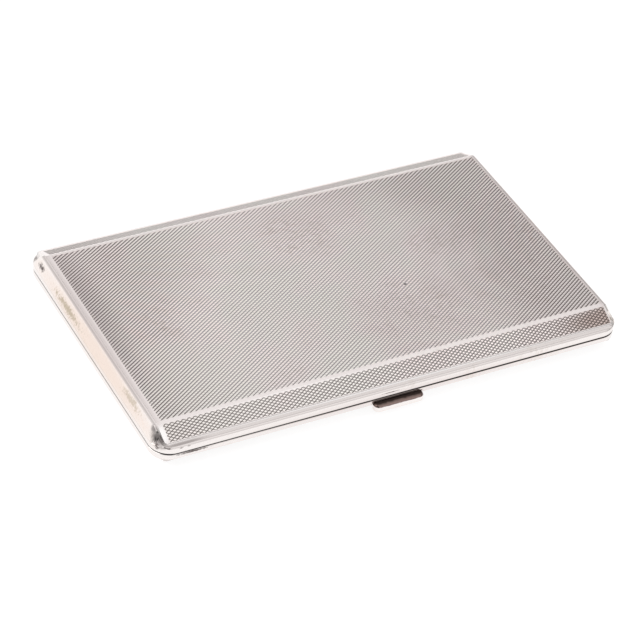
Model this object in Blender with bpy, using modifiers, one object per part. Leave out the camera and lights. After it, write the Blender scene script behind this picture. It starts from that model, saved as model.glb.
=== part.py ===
"""Slim engine-turned cigarette case with a long back hinge and a sprung thumb catch.

Metres, +Z up. X runs along the case, Y from the front edge to the hinge. The origin is the
middle of the flat bottom. Heights in the two halves are counted from the parting plane.
"""
import math
from dataclasses import dataclass, replace

import bmesh
import bpy
from mathutils import Matrix, Vector

# The case as a whole
CASE_LENGTH = 0.134
CASE_WIDTH = 0.084
LID_HEIGHT = 0.0054
BASE_HEIGHT = 0.0048
CORNER_RADIUS = 0.0056
PARTING_GAP = 0.0003

# Gaps: between pieces that are fixed together, and between pieces that move
SEAM_GAP = 0.00015
RUNNING_GAP = 0.0003
OVERRUN = 0.002

# The moulded rims
RIM_WIDTH = 0.002
RIM_EDGE = 0.0001
LID_BAND = 0.00175
BASE_BAND = 0.0017
BAND_SWELL = 0.0003
SEAM_INSET_SIDE = 0.00125
SEAM_INSET_END = 0.0026
SEAM_CORNER = 0.0007
LIP_INSET_SIDE = 0.00075
LIP_INSET_END = 0.0024
LIP_CORNER = 0.0009
LID_END_LEAN = 0.0015
BASE_END_LEAN = 0.0018
END_ROUND = 0.0006
LEDGE_WIDTH = 0.0007
LEDGE_THICKNESS = 0.0005
COVE_STEPS = 5

# Where the end walls fall away round the corners, in degrees from the end towards the front
FALL_TOP_DEG = 12.0
FALL_FOOT_DEG = 26.0
CORNER_STEPS = ((90.0, FALL_FOOT_DEG, 7), (FALL_FOOT_DEG, FALL_TOP_DEG, 5), (FALL_TOP_DEG, 0.0, 2))

# The folded cover sheets
COVER_SHEET = 0.00055
RIDGE_INSET = 0.0067
LID_FOOT = 0.00297
BASE_FOOT = 0.0026
COVER_CORNER_STEPS = 5

# The hinge
HINGE_END_INSET = 0.011
KNUCKLE_COUNT = 9
KNUCKLE_RADIUS = 0.0009
KNUCKLE_EDGE = 0.00012
BORE_RADIUS = 0.0005
PIN_CLEARANCE = 0.00008
PLUG_LENGTH = 0.0012
HINGE_STEPS = 20

# The thumb-piece and its pocket in the base rim
THUMB_LENGTH = 0.0142
THUMB_REACH = 0.0018
THUMB_SEAT = 0.0003
THUMB_TOP = 0.0009
THUMB_SHOULDER = 0.00195
THUMB_BOTTOM = 0.003
THUMB_CORNER = 0.0014
THUMB_END_ROUND = 0.0008
THUMB_CORNER_STEPS = 5
THUMB_TRAVEL = 0.0009
THUMB_ARC_STEPS = 6
STEM_WIDTH = 0.008
STEM_TOP = 0.00115
STEM_BOTTOM = 0.0016

# The catch behind it
SPRING_INSET = 0.0031
SPRING_THICKNESS = 0.0003
SPRING_LENGTH = 0.029
SPRING_TOP = 0.0003
SPRING_BOTTOM = 0.00175
TONGUE_WIDTH = 0.006
HOOK_REACH = 0.00075
HOOK_THICKNESS = 0.00045
STRIKE_WIDTH = 0.007
STRIKE_BOTTOM = 0.00035
STRIKE_THICKNESS = 0.0005
BLOCK_WIDTH = 0.0032
BLOCK_BOTTOM = 0.00115
BLOCK_END_MARGIN = 0.0001
RIVET_RADIUS = 0.00025
RIVET_HEAD_RADIUS = 0.0005
RIVET_HEAD_HEIGHT = 0.00035
RIVET_CLEARANCE = 0.00006
RIVET_STEPS = 16

# The upstands that line the base and guide the lid
INNER_RIM_SHEET = 0.0005
INNER_RIM_BOTTOM = 0.00115
INNER_RIM_TOP = 0.0012
INNER_RIM_CATCH_GAP = 0.0015
INNER_RIM_BACK_END = 0.025
INNER_RIM_STEPS = 8

# The elastic strap and its staples
STRAP_WIDTH = 0.008
STRAP_THICKNESS = 0.00055
STRAP_TAIL = 0.0055
STRAP_LOOP_STEPS = 18
STAPLE_RADIUS = 0.0004
STAPLE_REACH = 0.0012
STAPLE_DEPTH = 0.0004
STAPLE_SPREAD = 0.0012
STAPLE_BEND = 0.0005
STAPLE_BEND_STEPS = 4

COLLECTION_NAME = "cigarette_case"
CUTTER_COLLECTION_NAME = "cutters"

HALF_LENGTH = CASE_LENGTH / 2
HALF_WIDTH = CASE_WIDTH / 2
BEVEL_RUN = RIDGE_INSET - SEAM_INSET_SIDE - SEAM_GAP
HINGE_Y = HALF_WIDTH
HINGE_LENGTH = CASE_LENGTH - 2 * HINGE_END_INSET


@dataclass(frozen=True)
class Half:
    """One half: its height over the parting plane, its rim's band, its bevel's foot, its end walls' lean."""

    name: str
    height: float
    band: float
    foot: float
    end_lean: float
    side: int


LID = Half("lid", LID_HEIGHT, LID_BAND, LID_FOOT, LID_END_LEAN, 1)
BASE = Half("base", BASE_HEIGHT, BASE_BAND, BASE_FOOT, BASE_END_LEAN, -1)


@dataclass(frozen=True)
class Finish:
    """A metal or cloth: its colour, roughness and metallic value."""

    colour: tuple
    roughness: float
    metallic: float


SILVER = Finish((0.80, 0.77, 0.75), 0.22, 1.0)
TURNED_SILVER = Finish((0.70, 0.67, 0.65), 0.34, 1.0)
GILT = Finish((0.83, 0.66, 0.36), 0.25, 1.0)
STEEL = Finish((0.60, 0.60, 0.62), 0.30, 1.0)
ELASTIC = Finish((0.72, 0.60, 0.36), 0.85, 0.0)


def clear_scene():
    """Remove what the scene holds."""
    for item in list(bpy.data.objects):
        bpy.data.objects.remove(item, do_unlink=True)


def collection_named(name):
    """A new collection in the scene."""
    group = bpy.data.collections.new(name)
    bpy.context.scene.collection.children.link(group)
    return group


class Workshop:
    """Makes the objects: pieces go in one collection, cutters and guides in another."""

    def __init__(self):
        self.pieces = collection_named(COLLECTION_NAME)
        self.cutters = collection_named(CUTTER_COLLECTION_NAME)

    def material(self, name, finish):
        """A Principled material of the piece's own."""
        made = bpy.data.materials.new(name)
        made.use_nodes = True
        shader = made.node_tree.nodes["Principled BSDF"]
        shader.inputs["Base Color"].default_value = (*finish.colour, 1.0)
        shader.inputs["Roughness"].default_value = finish.roughness
        shader.inputs["Metallic"].default_value = finish.metallic
        return made

    def piece(self, name, mesh, finish, parent):
        """Link a mesh as a named piece under an empty that stands on its joint's axis."""
        made = bpy.data.objects.new(name, mesh)
        self.pieces.objects.link(made)
        if not mesh.materials:
            mesh.materials.append(self.material(name, finish))
        made.parent = parent
        made.matrix_parent_inverse = Matrix.Translation(-parent.location)
        return made

    def cutter(self, name, mesh):
        """Link a mesh as a hidden cutter."""
        made = bpy.data.objects.new(name, mesh)
        self.cutters.objects.link(made)
        made.hide_render = True
        made.display_type = "WIRE"
        return made

    def empty(self, name, place):
        """An empty that stands on a joint's axis."""
        made = bpy.data.objects.new(name, None)
        made.location = place
        made.empty_display_size = CORNER_RADIUS
        self.pieces.objects.link(made)
        return made


def mesh_of(shape, name):
    """Write a bmesh into a new mesh, with its faces pointing out."""
    bmesh.ops.recalc_face_normals(shape, faces=shape.faces)
    mesh = bpy.data.meshes.new(name)
    shape.to_mesh(mesh)
    shape.free()
    return mesh


def box_mesh(name, low, high):
    """A box between two corners."""
    shape = bmesh.new()
    size = Vector(high) - Vector(low)
    centre = (Vector(high) + Vector(low)) / 2
    place = Matrix.Translation(centre) @ Matrix.Diagonal((*size, 1.0))
    bmesh.ops.create_cube(shape, size=1.0, matrix=place)
    return mesh_of(shape, name)


def cylinder_mesh(name, radius, low, high, steps):
    """A cylinder along Y between two points that differ in Y alone."""
    shape = bmesh.new()
    centre = (Vector(high) + Vector(low)) / 2
    place = Matrix.Translation(centre) @ Matrix.Rotation(math.radians(90.0), 4, "X")
    bmesh.ops.create_cone(
        shape, cap_ends=True, segments=steps, radius1=radius, radius2=radius,
        depth=high[1] - low[1], matrix=place,
    )
    return mesh_of(shape, name)


def turned_mesh(name, profile, steps, axis_turn, place, closed):
    """Turn a profile of (radius, height) points with a Screw, then lay its axis where it belongs."""
    shape = bmesh.new()
    points = [shape.verts.new((radius, 0.0, height)) for radius, height in profile]
    for first, second in zip(points, points[1:]):
        shape.edges.new((first, second))
    if closed:
        shape.edges.new((points[-1], points[0]))
    outline = bpy.data.meshes.new(name)
    shape.to_mesh(outline)
    shape.free()
    guide = bpy.data.objects.new(name, outline)
    bpy.context.scene.collection.objects.link(guide)
    screw = guide.modifiers.new("turn", "SCREW")
    screw.angle = math.radians(360.0)
    screw.steps = steps
    screw.render_steps = steps
    screw.use_merge_vertices = True
    screw.merge_threshold = 0.00001
    mesh = evaluated_mesh(guide, name)
    mesh.transform(Matrix.Translation(place) @ axis_turn)
    return mesh


def evaluated_mesh(source, name):
    """The mesh that a guide object evaluates to, welded; the guide is removed."""
    graph = bpy.context.evaluated_depsgraph_get()
    mesh = bpy.data.meshes.new_from_object(source.evaluated_get(graph))
    mesh.transform(source.matrix_world)
    bpy.data.objects.remove(source, do_unlink=True)
    shape = bmesh.new()
    shape.from_mesh(mesh)
    bmesh.ops.remove_doubles(shape, verts=shape.verts, dist=0.000001)
    bmesh.ops.recalc_face_normals(shape, faces=shape.faces)
    shape.to_mesh(mesh)
    shape.free()
    mesh.name = name
    return mesh


def outline_mesh(name, outlines, thickness, turn, place):
    """Fill a flat outline and give it a thickness: the outlines lie in XY and are then turned."""
    curve = bpy.data.curves.new(name, "CURVE")
    curve.dimensions = "2D"
    curve.fill_mode = "BOTH"
    curve.extrude = thickness / 2
    for outline in outlines:
        spline = curve.splines.new("POLY")
        spline.points.add(len(outline) - 1)
        for point, (across, along) in zip(spline.points, outline):
            point.co = (across, along, 0.0, 1.0)
        spline.use_cyclic_u = True
    guide = bpy.data.objects.new(name, curve)
    bpy.context.scene.collection.objects.link(guide)
    guide.matrix_world = Matrix.Translation(place) @ turn
    bpy.context.view_layer.update()
    return evaluated_mesh(guide, name)


def wire_mesh(name, route, radius):
    """A wire of round section along a route of points, with filled ends."""
    curve = bpy.data.curves.new(name, "CURVE")
    curve.dimensions = "3D"
    curve.bevel_depth = radius
    curve.bevel_resolution = 2
    curve.use_fill_caps = True
    spline = curve.splines.new("POLY")
    spline.points.add(len(route) - 1)
    for point, place in zip(spline.points, route):
        point.co = (*place, 1.0)
    guide = bpy.data.objects.new(name, curve)
    bpy.context.scene.collection.objects.link(guide)
    return evaluated_mesh(guide, name)


def arc(centre, radius, start_deg, end_deg, steps):
    """Points along an arc, both ends included."""
    angles = [math.radians(start_deg + (end_deg - start_deg) * step / steps) for step in range(steps + 1)]
    return [(centre[0] + radius * math.cos(a), centre[1] + radius * math.sin(a)) for a in angles]


def mirrored(item, across_x, across_y):
    """Complete a half or a quarter that is open at the middle planes."""
    mirror = item.modifiers.new("mirror", "MIRROR")
    mirror.use_axis = (across_x, across_y, False)
    mirror.merge_threshold = 0.00001


def cut(item, cutter):
    """Take a cutter's shape out of a piece."""
    step = item.modifiers.new("cut", "BOOLEAN")
    step.operation = "DIFFERENCE"
    step.object = cutter


def join(item, other):
    """Add another shape to a piece."""
    step = item.modifiers.new("join", "BOOLEAN")
    step.operation = "UNION"
    step.object = other


def bevelled(item, width, segments, angle_deg):
    """Round a piece's sharp edges."""
    step = item.modifiers.new("bevel", "BEVEL")
    step.width = width
    step.segments = segments
    step.limit_method = "ANGLE"
    step.angle_limit = math.radians(angle_deg)


def smooth(mesh, angle_deg):
    """Shade a round piece smooth up to an angle."""
    mesh.shade_smooth()
    mesh.set_sharp_from_angle(angle=math.radians(angle_deg))


def cover_height(half, inset):
    """Height of a cover's outer surface, or its bevel carried on, at a distance in from the long edge."""
    slope = (half.height - half.foot) / BEVEL_RUN
    return min(half.height, half.foot + slope * (inset - SEAM_INSET_SIDE - SEAM_GAP))


def cover_drop(half):
    """Height that a cover's sheet and the seam under it take up, measured upright on the bevel."""
    slope = (half.height - half.foot) / BEVEL_RUN
    return COVER_SHEET * math.hypot(1.0, slope) + SEAM_GAP


@dataclass(frozen=True)
class Station:
    """A cross-section of the rim: a plan point inside it and the way out, its seam and its end wall."""

    origin: Vector
    way: Vector
    seam: float
    lip: float
    swell: float
    wall: float


def corner_reach(angle, end_inset, side_inset, radius):
    """Distance from the outer corner's centre to a smaller rounded corner inside it."""
    corner = (CORNER_RADIUS - end_inset - radius, CORNER_RADIUS - side_inset - radius)
    way = (math.cos(angle), math.sin(angle))
    end_hit = (corner[0] + radius) / max(way[0], RIM_EDGE)
    side_hit = (corner[1] + radius) / max(way[1], RIM_EDGE)
    if end_hit * way[1] <= corner[1]:
        return end_hit
    if side_hit * way[0] <= corner[0]:
        return side_hit
    along = way[0] * corner[0] + way[1] * corner[1]
    return along + math.sqrt(max(along**2 - corner[0] ** 2 - corner[1] ** 2 + radius**2, 0.0))


def corner_station(centre, degrees):
    """The cross-section at an angle round the corner, in degrees from the end towards the front."""
    angle = math.radians(degrees)
    share = min(max((FALL_FOOT_DEG - degrees) / (FALL_FOOT_DEG - FALL_TOP_DEG), 0.0), 1.0)
    return Station(
        centre,
        Vector((-math.cos(angle), -math.sin(angle))),
        corner_reach(angle, SEAM_INSET_END, SEAM_INSET_SIDE, SEAM_CORNER),
        corner_reach(angle, LIP_INSET_END, LIP_INSET_SIDE, LIP_CORNER),
        BAND_SWELL * math.sin(2.0 * angle) ** 2,
        share * share * (3.0 - 2.0 * share),
    )


def rim_stations():
    """Stations along a quarter of the rim, from the middle of the front to the middle of an end."""
    centre = Vector((CORNER_RADIUS - HALF_LENGTH, CORNER_RADIUS - HALF_WIDTH))
    front = corner_station(centre, 90.0)
    end = corner_station(centre, 0.0)
    stations = [replace(front, origin=Vector((0.0, centre.y))), front]
    for start, finish, steps in CORNER_STEPS:
        stations += [corner_station(centre, start + (finish - start) * step / steps) for step in range(1, steps + 1)]
    ridge = max(RIDGE_INSET, CORNER_RADIUS + RIM_EDGE) - HALF_WIDTH
    stations.append(replace(end, origin=Vector((centre.x, ridge))))
    stations.append(replace(end, origin=Vector((centre.x, 0.0))))
    return stations


def rim_section(station, half):
    """The rim's outline at a station, from the parting edge up the outside and down the inside."""
    outer = CORNER_RADIUS
    inner = CORNER_RADIUS - RIM_WIDTH
    ledge = inner - LEDGE_WIDTH
    parting = PARTING_GAP / 2
    shoulder = outer - half.end_lean

    def top_at(reach):
        return cover_height(half, (station.origin + station.way * reach).y + HALF_WIDTH)

    seam_top = top_at(station.seam)
    band = half.band + station.swell
    band_reach = outer - RIM_EDGE
    rows = [(band_reach, parting), (outer, parting + RIM_EDGE), (outer, band - RIM_EDGE), (band_reach, band)]
    for step in range(1, COVE_STEPS + 1):
        turn = math.radians(90.0) * step / COVE_STEPS
        hollow = (
            band_reach + (station.lip - band_reach) * math.sin(turn),
            band + (top_at(station.lip) - band) * (1.0 - math.cos(turn)),
        )
        crest = math.radians(90.0) * (step - 1) / (COVE_STEPS - 1)
        reach = shoulder + (station.lip - shoulder) * (1.0 - math.cos(crest))
        full = (reach, top_at(reach) - END_ROUND * (1.0 - math.sin(crest)))
        rows.append(tuple(low + station.wall * (high - low) for low, high in zip(hollow, full)))
    ledge_top = top_at(ledge) - cover_drop(half)
    rows.append((station.seam, seam_top))
    rows.append((station.seam, seam_top - cover_drop(half)))
    rows.append((ledge, ledge_top))
    rows.append((ledge, ledge_top - LEDGE_THICKNESS))
    rows.append((inner, ledge_top - LEDGE_THICKNESS - LEDGE_WIDTH))
    rows.append((inner, parting))
    return [(*(station.origin + station.way * reach), half.side * height) for reach, height in rows]


def rim_mesh(half):
    """A quarter of the rim, lofted through its stations."""
    shape = bmesh.new()
    rings = [[shape.verts.new(point) for point in rim_section(station, half)] for station in rim_stations()]
    for ring, following in zip(rings, rings[1:]):
        for index in range(len(ring)):
            after = (index + 1) % len(ring)
            shape.faces.new((ring[index], ring[after], following[after], following[index]))
    bmesh.ops.remove_doubles(shape, verts=shape.verts, dist=0.000001)
    mesh = mesh_of(shape, half.name + "_frame")
    if half.side > 0:
        facing = min(mesh.polygons, key=lambda face: face.center.z)
        inward = facing.normal.z > 0
    else:
        facing = max(mesh.polygons, key=lambda face: face.center.z)
        inward = facing.normal.z < 0
    if inward:
        mesh.flip_normals()
    smooth(mesh, 25.0)
    return mesh


def cover_mesh(half):
    """A quarter of a cover: one facet and half of the flat, as an open surface."""
    inset_end = SEAM_INSET_END + SEAM_GAP
    inset_side = SEAM_INSET_SIDE + SEAM_GAP
    corner = SEAM_CORNER - SEAM_GAP
    end = inset_end - HALF_LENGTH
    side = inset_side - HALF_WIDTH
    ridge = RIDGE_INSET - HALF_WIDTH
    edge = arc((end + corner, side + corner), corner, 180.0, 270.0, COVER_CORNER_STEPS)
    facet = [(0.0, ridge), (end, ridge), *edge, (0.0, side)]
    flat = [(0.0, 0.0), (end, 0.0), (end, ridge), (0.0, ridge)]
    shape = bmesh.new()
    for outline in (flat, facet):
        corners = [(x, y, half.side * cover_height(half, y + HALF_WIDTH)) for x, y in outline]
        shape.faces.new([shape.verts.new(point) for point in corners])
    bmesh.ops.remove_doubles(shape, verts=shape.verts, dist=0.000001)
    for face in shape.faces:
        face.normal_update()
        if face.normal.z * half.side < 0:
            face.normal_flip()
    mesh = bpy.data.meshes.new(half.name + "_cover")
    shape.to_mesh(mesh)
    shape.free()
    return mesh


def knuckle_length():
    """Length of one knuckle, with a running gap between each two."""
    return (HINGE_LENGTH - (KNUCKLE_COUNT - 1) * RUNNING_GAP) / KNUCKLE_COUNT


def knuckle_centre(index):
    """Place along X of a knuckle's middle."""
    return (index - (KNUCKLE_COUNT - 1) / 2) * (knuckle_length() + RUNNING_GAP)


def belongs_to_lid(index):
    """Every second knuckle is the lid's, and the two at the ends are the base's."""
    return index % 2 == 1


def hinge_trough(half):
    """Cutter for the groove that the knuckles lie in: close round a half's own, clear of the other's."""
    pitch = knuckle_length() + RUNNING_GAP
    profile = [(0.0, HINGE_LENGTH / 2 + RUNNING_GAP)]
    for index in reversed(range(KNUCKLE_COUNT)):
        own = belongs_to_lid(index) == (half.side > 0)
        radius = KNUCKLE_RADIUS + (SEAM_GAP if own else RUNNING_GAP)
        reach = RUNNING_GAP / 2 if index in (0, KNUCKLE_COUNT - 1) else 0.0
        top = knuckle_centre(index) + pitch / 2 + (reach if index else 0.0)
        foot = knuckle_centre(index) - pitch / 2 - (0.0 if index else reach)
        profile += [(radius, top), (radius, foot)]
    profile.append((0.0, -HINGE_LENGTH / 2 - RUNNING_GAP))
    turn = Matrix.Rotation(math.radians(90.0), 4, "Y")
    return turned_mesh(half.name + "_trough", profile, HINGE_STEPS, turn, (0.0, HINGE_Y, 0.0), False)


def make_half(shop, half, parent):
    """The rim and the cover of one half."""
    level = (0.0, 0.0, BASE_HEIGHT)
    frame = shop.piece(half.name + "_frame", rim_mesh(half), SILVER, parent)
    frame.location = level
    mirrored(frame, True, True)
    trough = shop.cutter(half.name + "_trough", hinge_trough(half))
    trough.location = level
    cut(frame, trough)
    cover = shop.piece(half.name + "_cover", cover_mesh(half), TURNED_SILVER, parent)
    cover.location = level
    mirrored(cover, True, True)
    sheet = cover.modifiers.new("sheet", "SOLIDIFY")
    sheet.thickness = COVER_SHEET
    sheet.offset = -1.0
    sheet.use_even_offset = True
    return frame


def make_hinge(shop, root, lid_axis):
    """Nine knuckles that take turns, the pin through them and a plug at each end."""
    half_length = knuckle_length() / 2
    rim = KNUCKLE_RADIUS - KNUCKLE_EDGE
    profile = [
        (rim, half_length), (KNUCKLE_RADIUS, half_length - KNUCKLE_EDGE),
        (KNUCKLE_RADIUS, KNUCKLE_EDGE - half_length), (rim, -half_length),
        (BORE_RADIUS, -half_length), (BORE_RADIUS, half_length),
    ]
    turn = Matrix.Rotation(math.radians(90.0), 4, "Y")
    barrel = turned_mesh("hinge_knuckle", profile, HINGE_STEPS, turn, (0.0, 0.0, 0.0), True)
    smooth(barrel, 35.0)
    for index in range(KNUCKLE_COUNT):
        owner = "lid" if belongs_to_lid(index) else "base"
        mesh = barrel.copy()
        knuckle = shop.piece(f"{owner}_knuckle_{index + 1}", mesh, SILVER, lid_axis if owner == "lid" else root)
        knuckle.location = (knuckle_centre(index), HINGE_Y, BASE_HEIGHT)
    pin_radius = BORE_RADIUS - PIN_CLEARANCE
    pin_half = HINGE_LENGTH / 2 - PLUG_LENGTH - SEAM_GAP
    pin_profile = [(0.0, pin_half), (pin_radius, pin_half), (pin_radius, -pin_half), (0.0, -pin_half)]
    pin_mesh = turned_mesh("hinge_pin", pin_profile, HINGE_STEPS, turn, (0.0, 0.0, 0.0), False)
    smooth(pin_mesh, 35.0)
    pin = shop.piece("hinge_pin", pin_mesh, STEEL, root)
    pin.location = (0.0, HINGE_Y, BASE_HEIGHT)
    half_plug = PLUG_LENGTH / 2
    plug_profile = [(0.0, half_plug), (pin_radius, half_plug), (pin_radius, -half_plug), (0.0, -half_plug)]
    plug_mesh = turned_mesh("hinge_plug", plug_profile, HINGE_STEPS, turn, (0.0, 0.0, 0.0), False)
    smooth(plug_mesh, 35.0)
    for name, side in (("hinge_plug_left", -1), ("hinge_plug_right", 1)):
        plug = shop.piece(name, plug_mesh.copy(), SILVER, root)
        plug.location = (side * (HINGE_LENGTH / 2 - half_plug), HINGE_Y, BASE_HEIGHT)


def thumb_mesh(back, face):
    """The thumb-piece: rings in plan with round front corners, drawn in towards the crown."""
    shape = bmesh.new()
    turns = [math.radians(90.0) * step / THUMB_ARC_STEPS for step in range(1, THUMB_ARC_STEPS + 1)]
    levels = [(math.sin(turn), (THUMB_SHOULDER - THUMB_TOP) * math.cos(turn) - THUMB_SHOULDER) for turn in turns]
    levels.append((1.0, -THUMB_BOTTOM))
    rings = []
    for share, height in levels:
        half = THUMB_LENGTH / 2 - THUMB_END_ROUND * (1.0 - share)
        front = back + (face - back) * share
        corner = THUMB_CORNER * share
        right = arc((half - corner, front + corner), corner, 0.0, -90.0, THUMB_CORNER_STEPS)
        quarter = [(half, back), *right]
        plan = [*quarter, *[(-x, y) for x, y in reversed(quarter)]]
        rings.append([shape.verts.new((x, y, height)) for x, y in plan])
    for ring, following in zip(rings, rings[1:]):
        for index in range(len(ring)):
            after = (index + 1) % len(ring)
            shape.faces.new((ring[index], ring[after], following[after], following[index]))
    shape.faces.new(rings[0])
    shape.faces.new(rings[-1])
    mesh = mesh_of(shape, "thumb_piece")
    smooth(mesh, 35.0)
    return mesh


def make_thumb_piece(shop, base_frame, thumb_axis):
    """The thumb-piece and its stem, and the pocket and window that they slide in."""
    front = -HALF_WIDTH
    back = front + THUMB_SEAT
    thumb = shop.piece("thumb_piece", thumb_mesh(back, front - THUMB_REACH), SILVER, thumb_axis)
    thumb.location = (0.0, 0.0, BASE_HEIGHT)
    stem = shop.cutter("thumb_stem", box_mesh(
        "thumb_stem",
        (-STEM_WIDTH / 2, back - THUMB_SEAT, -STEM_BOTTOM),
        (STEM_WIDTH / 2, front + SPRING_INSET - SEAM_GAP, -STEM_TOP),
    ))
    stem.location = (0.0, 0.0, BASE_HEIGHT)
    join(thumb, stem)
    pocket_depth = THUMB_SEAT + THUMB_TRAVEL + SEAM_GAP
    pocket = shop.cutter("thumb_pocket", box_mesh(
        "thumb_pocket",
        (-THUMB_LENGTH / 2 - RUNNING_GAP, front - OVERRUN, -THUMB_BOTTOM),
        (THUMB_LENGTH / 2 + RUNNING_GAP, front + pocket_depth, -THUMB_TOP + SEAM_GAP),
    ))
    window = shop.cutter("stem_window", box_mesh(
        "stem_window",
        (-STEM_WIDTH / 2 - RUNNING_GAP, front - OVERRUN, -STEM_BOTTOM - SEAM_GAP),
        (STEM_WIDTH / 2 + RUNNING_GAP, front + RIM_WIDTH + LEDGE_WIDTH, -STEM_TOP + SEAM_GAP),
    ))
    for cutter in (pocket, window):
        cutter.location = (0.0, 0.0, BASE_HEIGHT)
        cut(base_frame, cutter)


def make_catch(shop, root, lid_axis):
    """The flat spring with its hooked tongue, the blocks and rivets that hold it, and the lid's strike."""
    front = -HALF_WIDTH
    hook_bottom = STRIKE_BOTTOM + STRIKE_THICKNESS + RUNNING_GAP
    hook_top = hook_bottom + HOOK_THICKNESS
    half_tongue = TONGUE_WIDTH / 2
    half_spring = SPRING_LENGTH / 2
    outline = [
        (-half_spring, -SPRING_BOTTOM), (half_spring, -SPRING_BOTTOM), (half_spring, -SPRING_TOP),
        (half_tongue, -SPRING_TOP), (half_tongue, hook_top), (-half_tongue, hook_top),
        (-half_tongue, -SPRING_TOP), (-half_spring, -SPRING_TOP),
    ]
    upright = Matrix.Rotation(math.radians(90.0), 4, "X")
    middle = front + SPRING_INSET + SPRING_THICKNESS / 2
    strip = outline_mesh("catch_spring", [outline], SPRING_THICKNESS, upright, (0.0, middle, 0.0))
    spring = shop.piece("catch_spring", strip, STEEL, root)
    spring.location = (0.0, 0.0, BASE_HEIGHT)
    hook = shop.cutter("catch_hook", box_mesh(
        "catch_hook",
        (-half_tongue, front + SPRING_INSET - HOOK_REACH, hook_bottom),
        (half_tongue, front + SPRING_INSET + SPRING_THICKNESS / 2, hook_top),
    ))
    hook.location = (0.0, 0.0, BASE_HEIGHT)
    join(spring, hook)
    strike = shop.piece("lid_strike", box_mesh(
        "lid_strike",
        (-STRIKE_WIDTH / 2, front + RIM_WIDTH + SEAM_GAP, STRIKE_BOTTOM),
        (STRIKE_WIDTH / 2, front + SPRING_INSET - SEAM_GAP, STRIKE_BOTTOM + STRIKE_THICKNESS),
    ), GILT, lid_axis)
    strike.location = (0.0, 0.0, BASE_HEIGHT)
    block_middle = half_spring - BLOCK_END_MARGIN - BLOCK_WIDTH / 2
    rivet_height = -(SPRING_TOP + BLOCK_BOTTOM) / 2
    hole_radius = RIVET_RADIUS + RIVET_CLEARANCE
    back_of_spring = front + SPRING_INSET + SPRING_THICKNESS
    shank_end = front + RIM_WIDTH + SEAM_GAP
    head_foot = back_of_spring + RIVET_CLEARANCE
    head_top = head_foot + RIVET_HEAD_HEIGHT
    dome = [
        (RIVET_HEAD_RADIUS * math.sin(math.radians(angle)), RIVET_HEAD_HEIGHT * math.cos(math.radians(angle)))
        for angle in (0.0, 30.0, 60.0, 90.0)
    ]
    profile = [(radius, head_foot + height) for radius, height in dome]
    profile += [(RIVET_RADIUS, head_foot), (RIVET_RADIUS, shank_end), (0.0, shank_end)]
    flat_turn = Matrix.Rotation(math.radians(-90.0), 4, "X")
    for name, side in (("left", -1), ("right", 1)):
        x = side * block_middle
        block = shop.piece("catch_block_" + name, box_mesh(
            "catch_block_" + name,
            (x - BLOCK_WIDTH / 2, front + RIM_WIDTH + SEAM_GAP, -BLOCK_BOTTOM),
            (x + BLOCK_WIDTH / 2, front + SPRING_INSET - SEAM_GAP, -SPRING_TOP),
        ), GILT, root)
        block.location = (0.0, 0.0, BASE_HEIGHT)
        hole = shop.cutter("rivet_hole_" + name, cylinder_mesh(
            "rivet_hole_" + name, hole_radius,
            (x, front + RIM_WIDTH - OVERRUN, rivet_height), (x, head_top, rivet_height), RIVET_STEPS,
        ))
        hole.location = (0.0, 0.0, BASE_HEIGHT)
        cut(block, hole)
        cut(spring, hole)
        rivet_mesh = turned_mesh("catch_rivet_" + name, profile, RIVET_STEPS, flat_turn, (x, 0.0, rivet_height), False)
        smooth(rivet_mesh, 35.0)
        rivet = shop.piece("catch_rivet_" + name, rivet_mesh, STEEL, root)
        rivet.location = (0.0, 0.0, BASE_HEIGHT)


def make_inner_rims(shop, root):
    """Two thin upstands inside the base, each along half of the front, round a corner and along an end."""
    inset = RIM_WIDTH + SEAM_GAP
    corner = CORNER_RADIUS - inset
    centre = (CORNER_RADIUS - HALF_LENGTH, CORNER_RADIUS - HALF_WIDTH)
    route = [(-SPRING_LENGTH / 2 - INNER_RIM_CATCH_GAP, inset - HALF_WIDTH)]
    route += arc(centre, corner, 270.0, 180.0, INNER_RIM_STEPS)
    route.append((inset - HALF_LENGTH, INNER_RIM_BACK_END))
    for name, side in (("left", 1), ("right", -1)):
        shape = bmesh.new()
        rows = [
            [shape.verts.new((side * x, y, height)) for x, y in route]
            for height in (-INNER_RIM_BOTTOM, INNER_RIM_TOP)
        ]
        for index in range(len(route) - 1):
            shape.faces.new((rows[0][index], rows[0][index + 1], rows[1][index + 1], rows[1][index]))
        mesh = bpy.data.meshes.new("inner_rim_" + name)
        shape.to_mesh(mesh)
        shape.free()
        smooth(mesh, 30.0)
        upstand = shop.piece("inner_rim_" + name, mesh, GILT, root)
        upstand.location = (0.0, 0.0, BASE_HEIGHT)
        sheet = upstand.modifiers.new("sheet", "SOLIDIFY")
        sheet.thickness = INNER_RIM_SHEET
        sheet.offset = side
        sheet.use_even_offset = True


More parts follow.
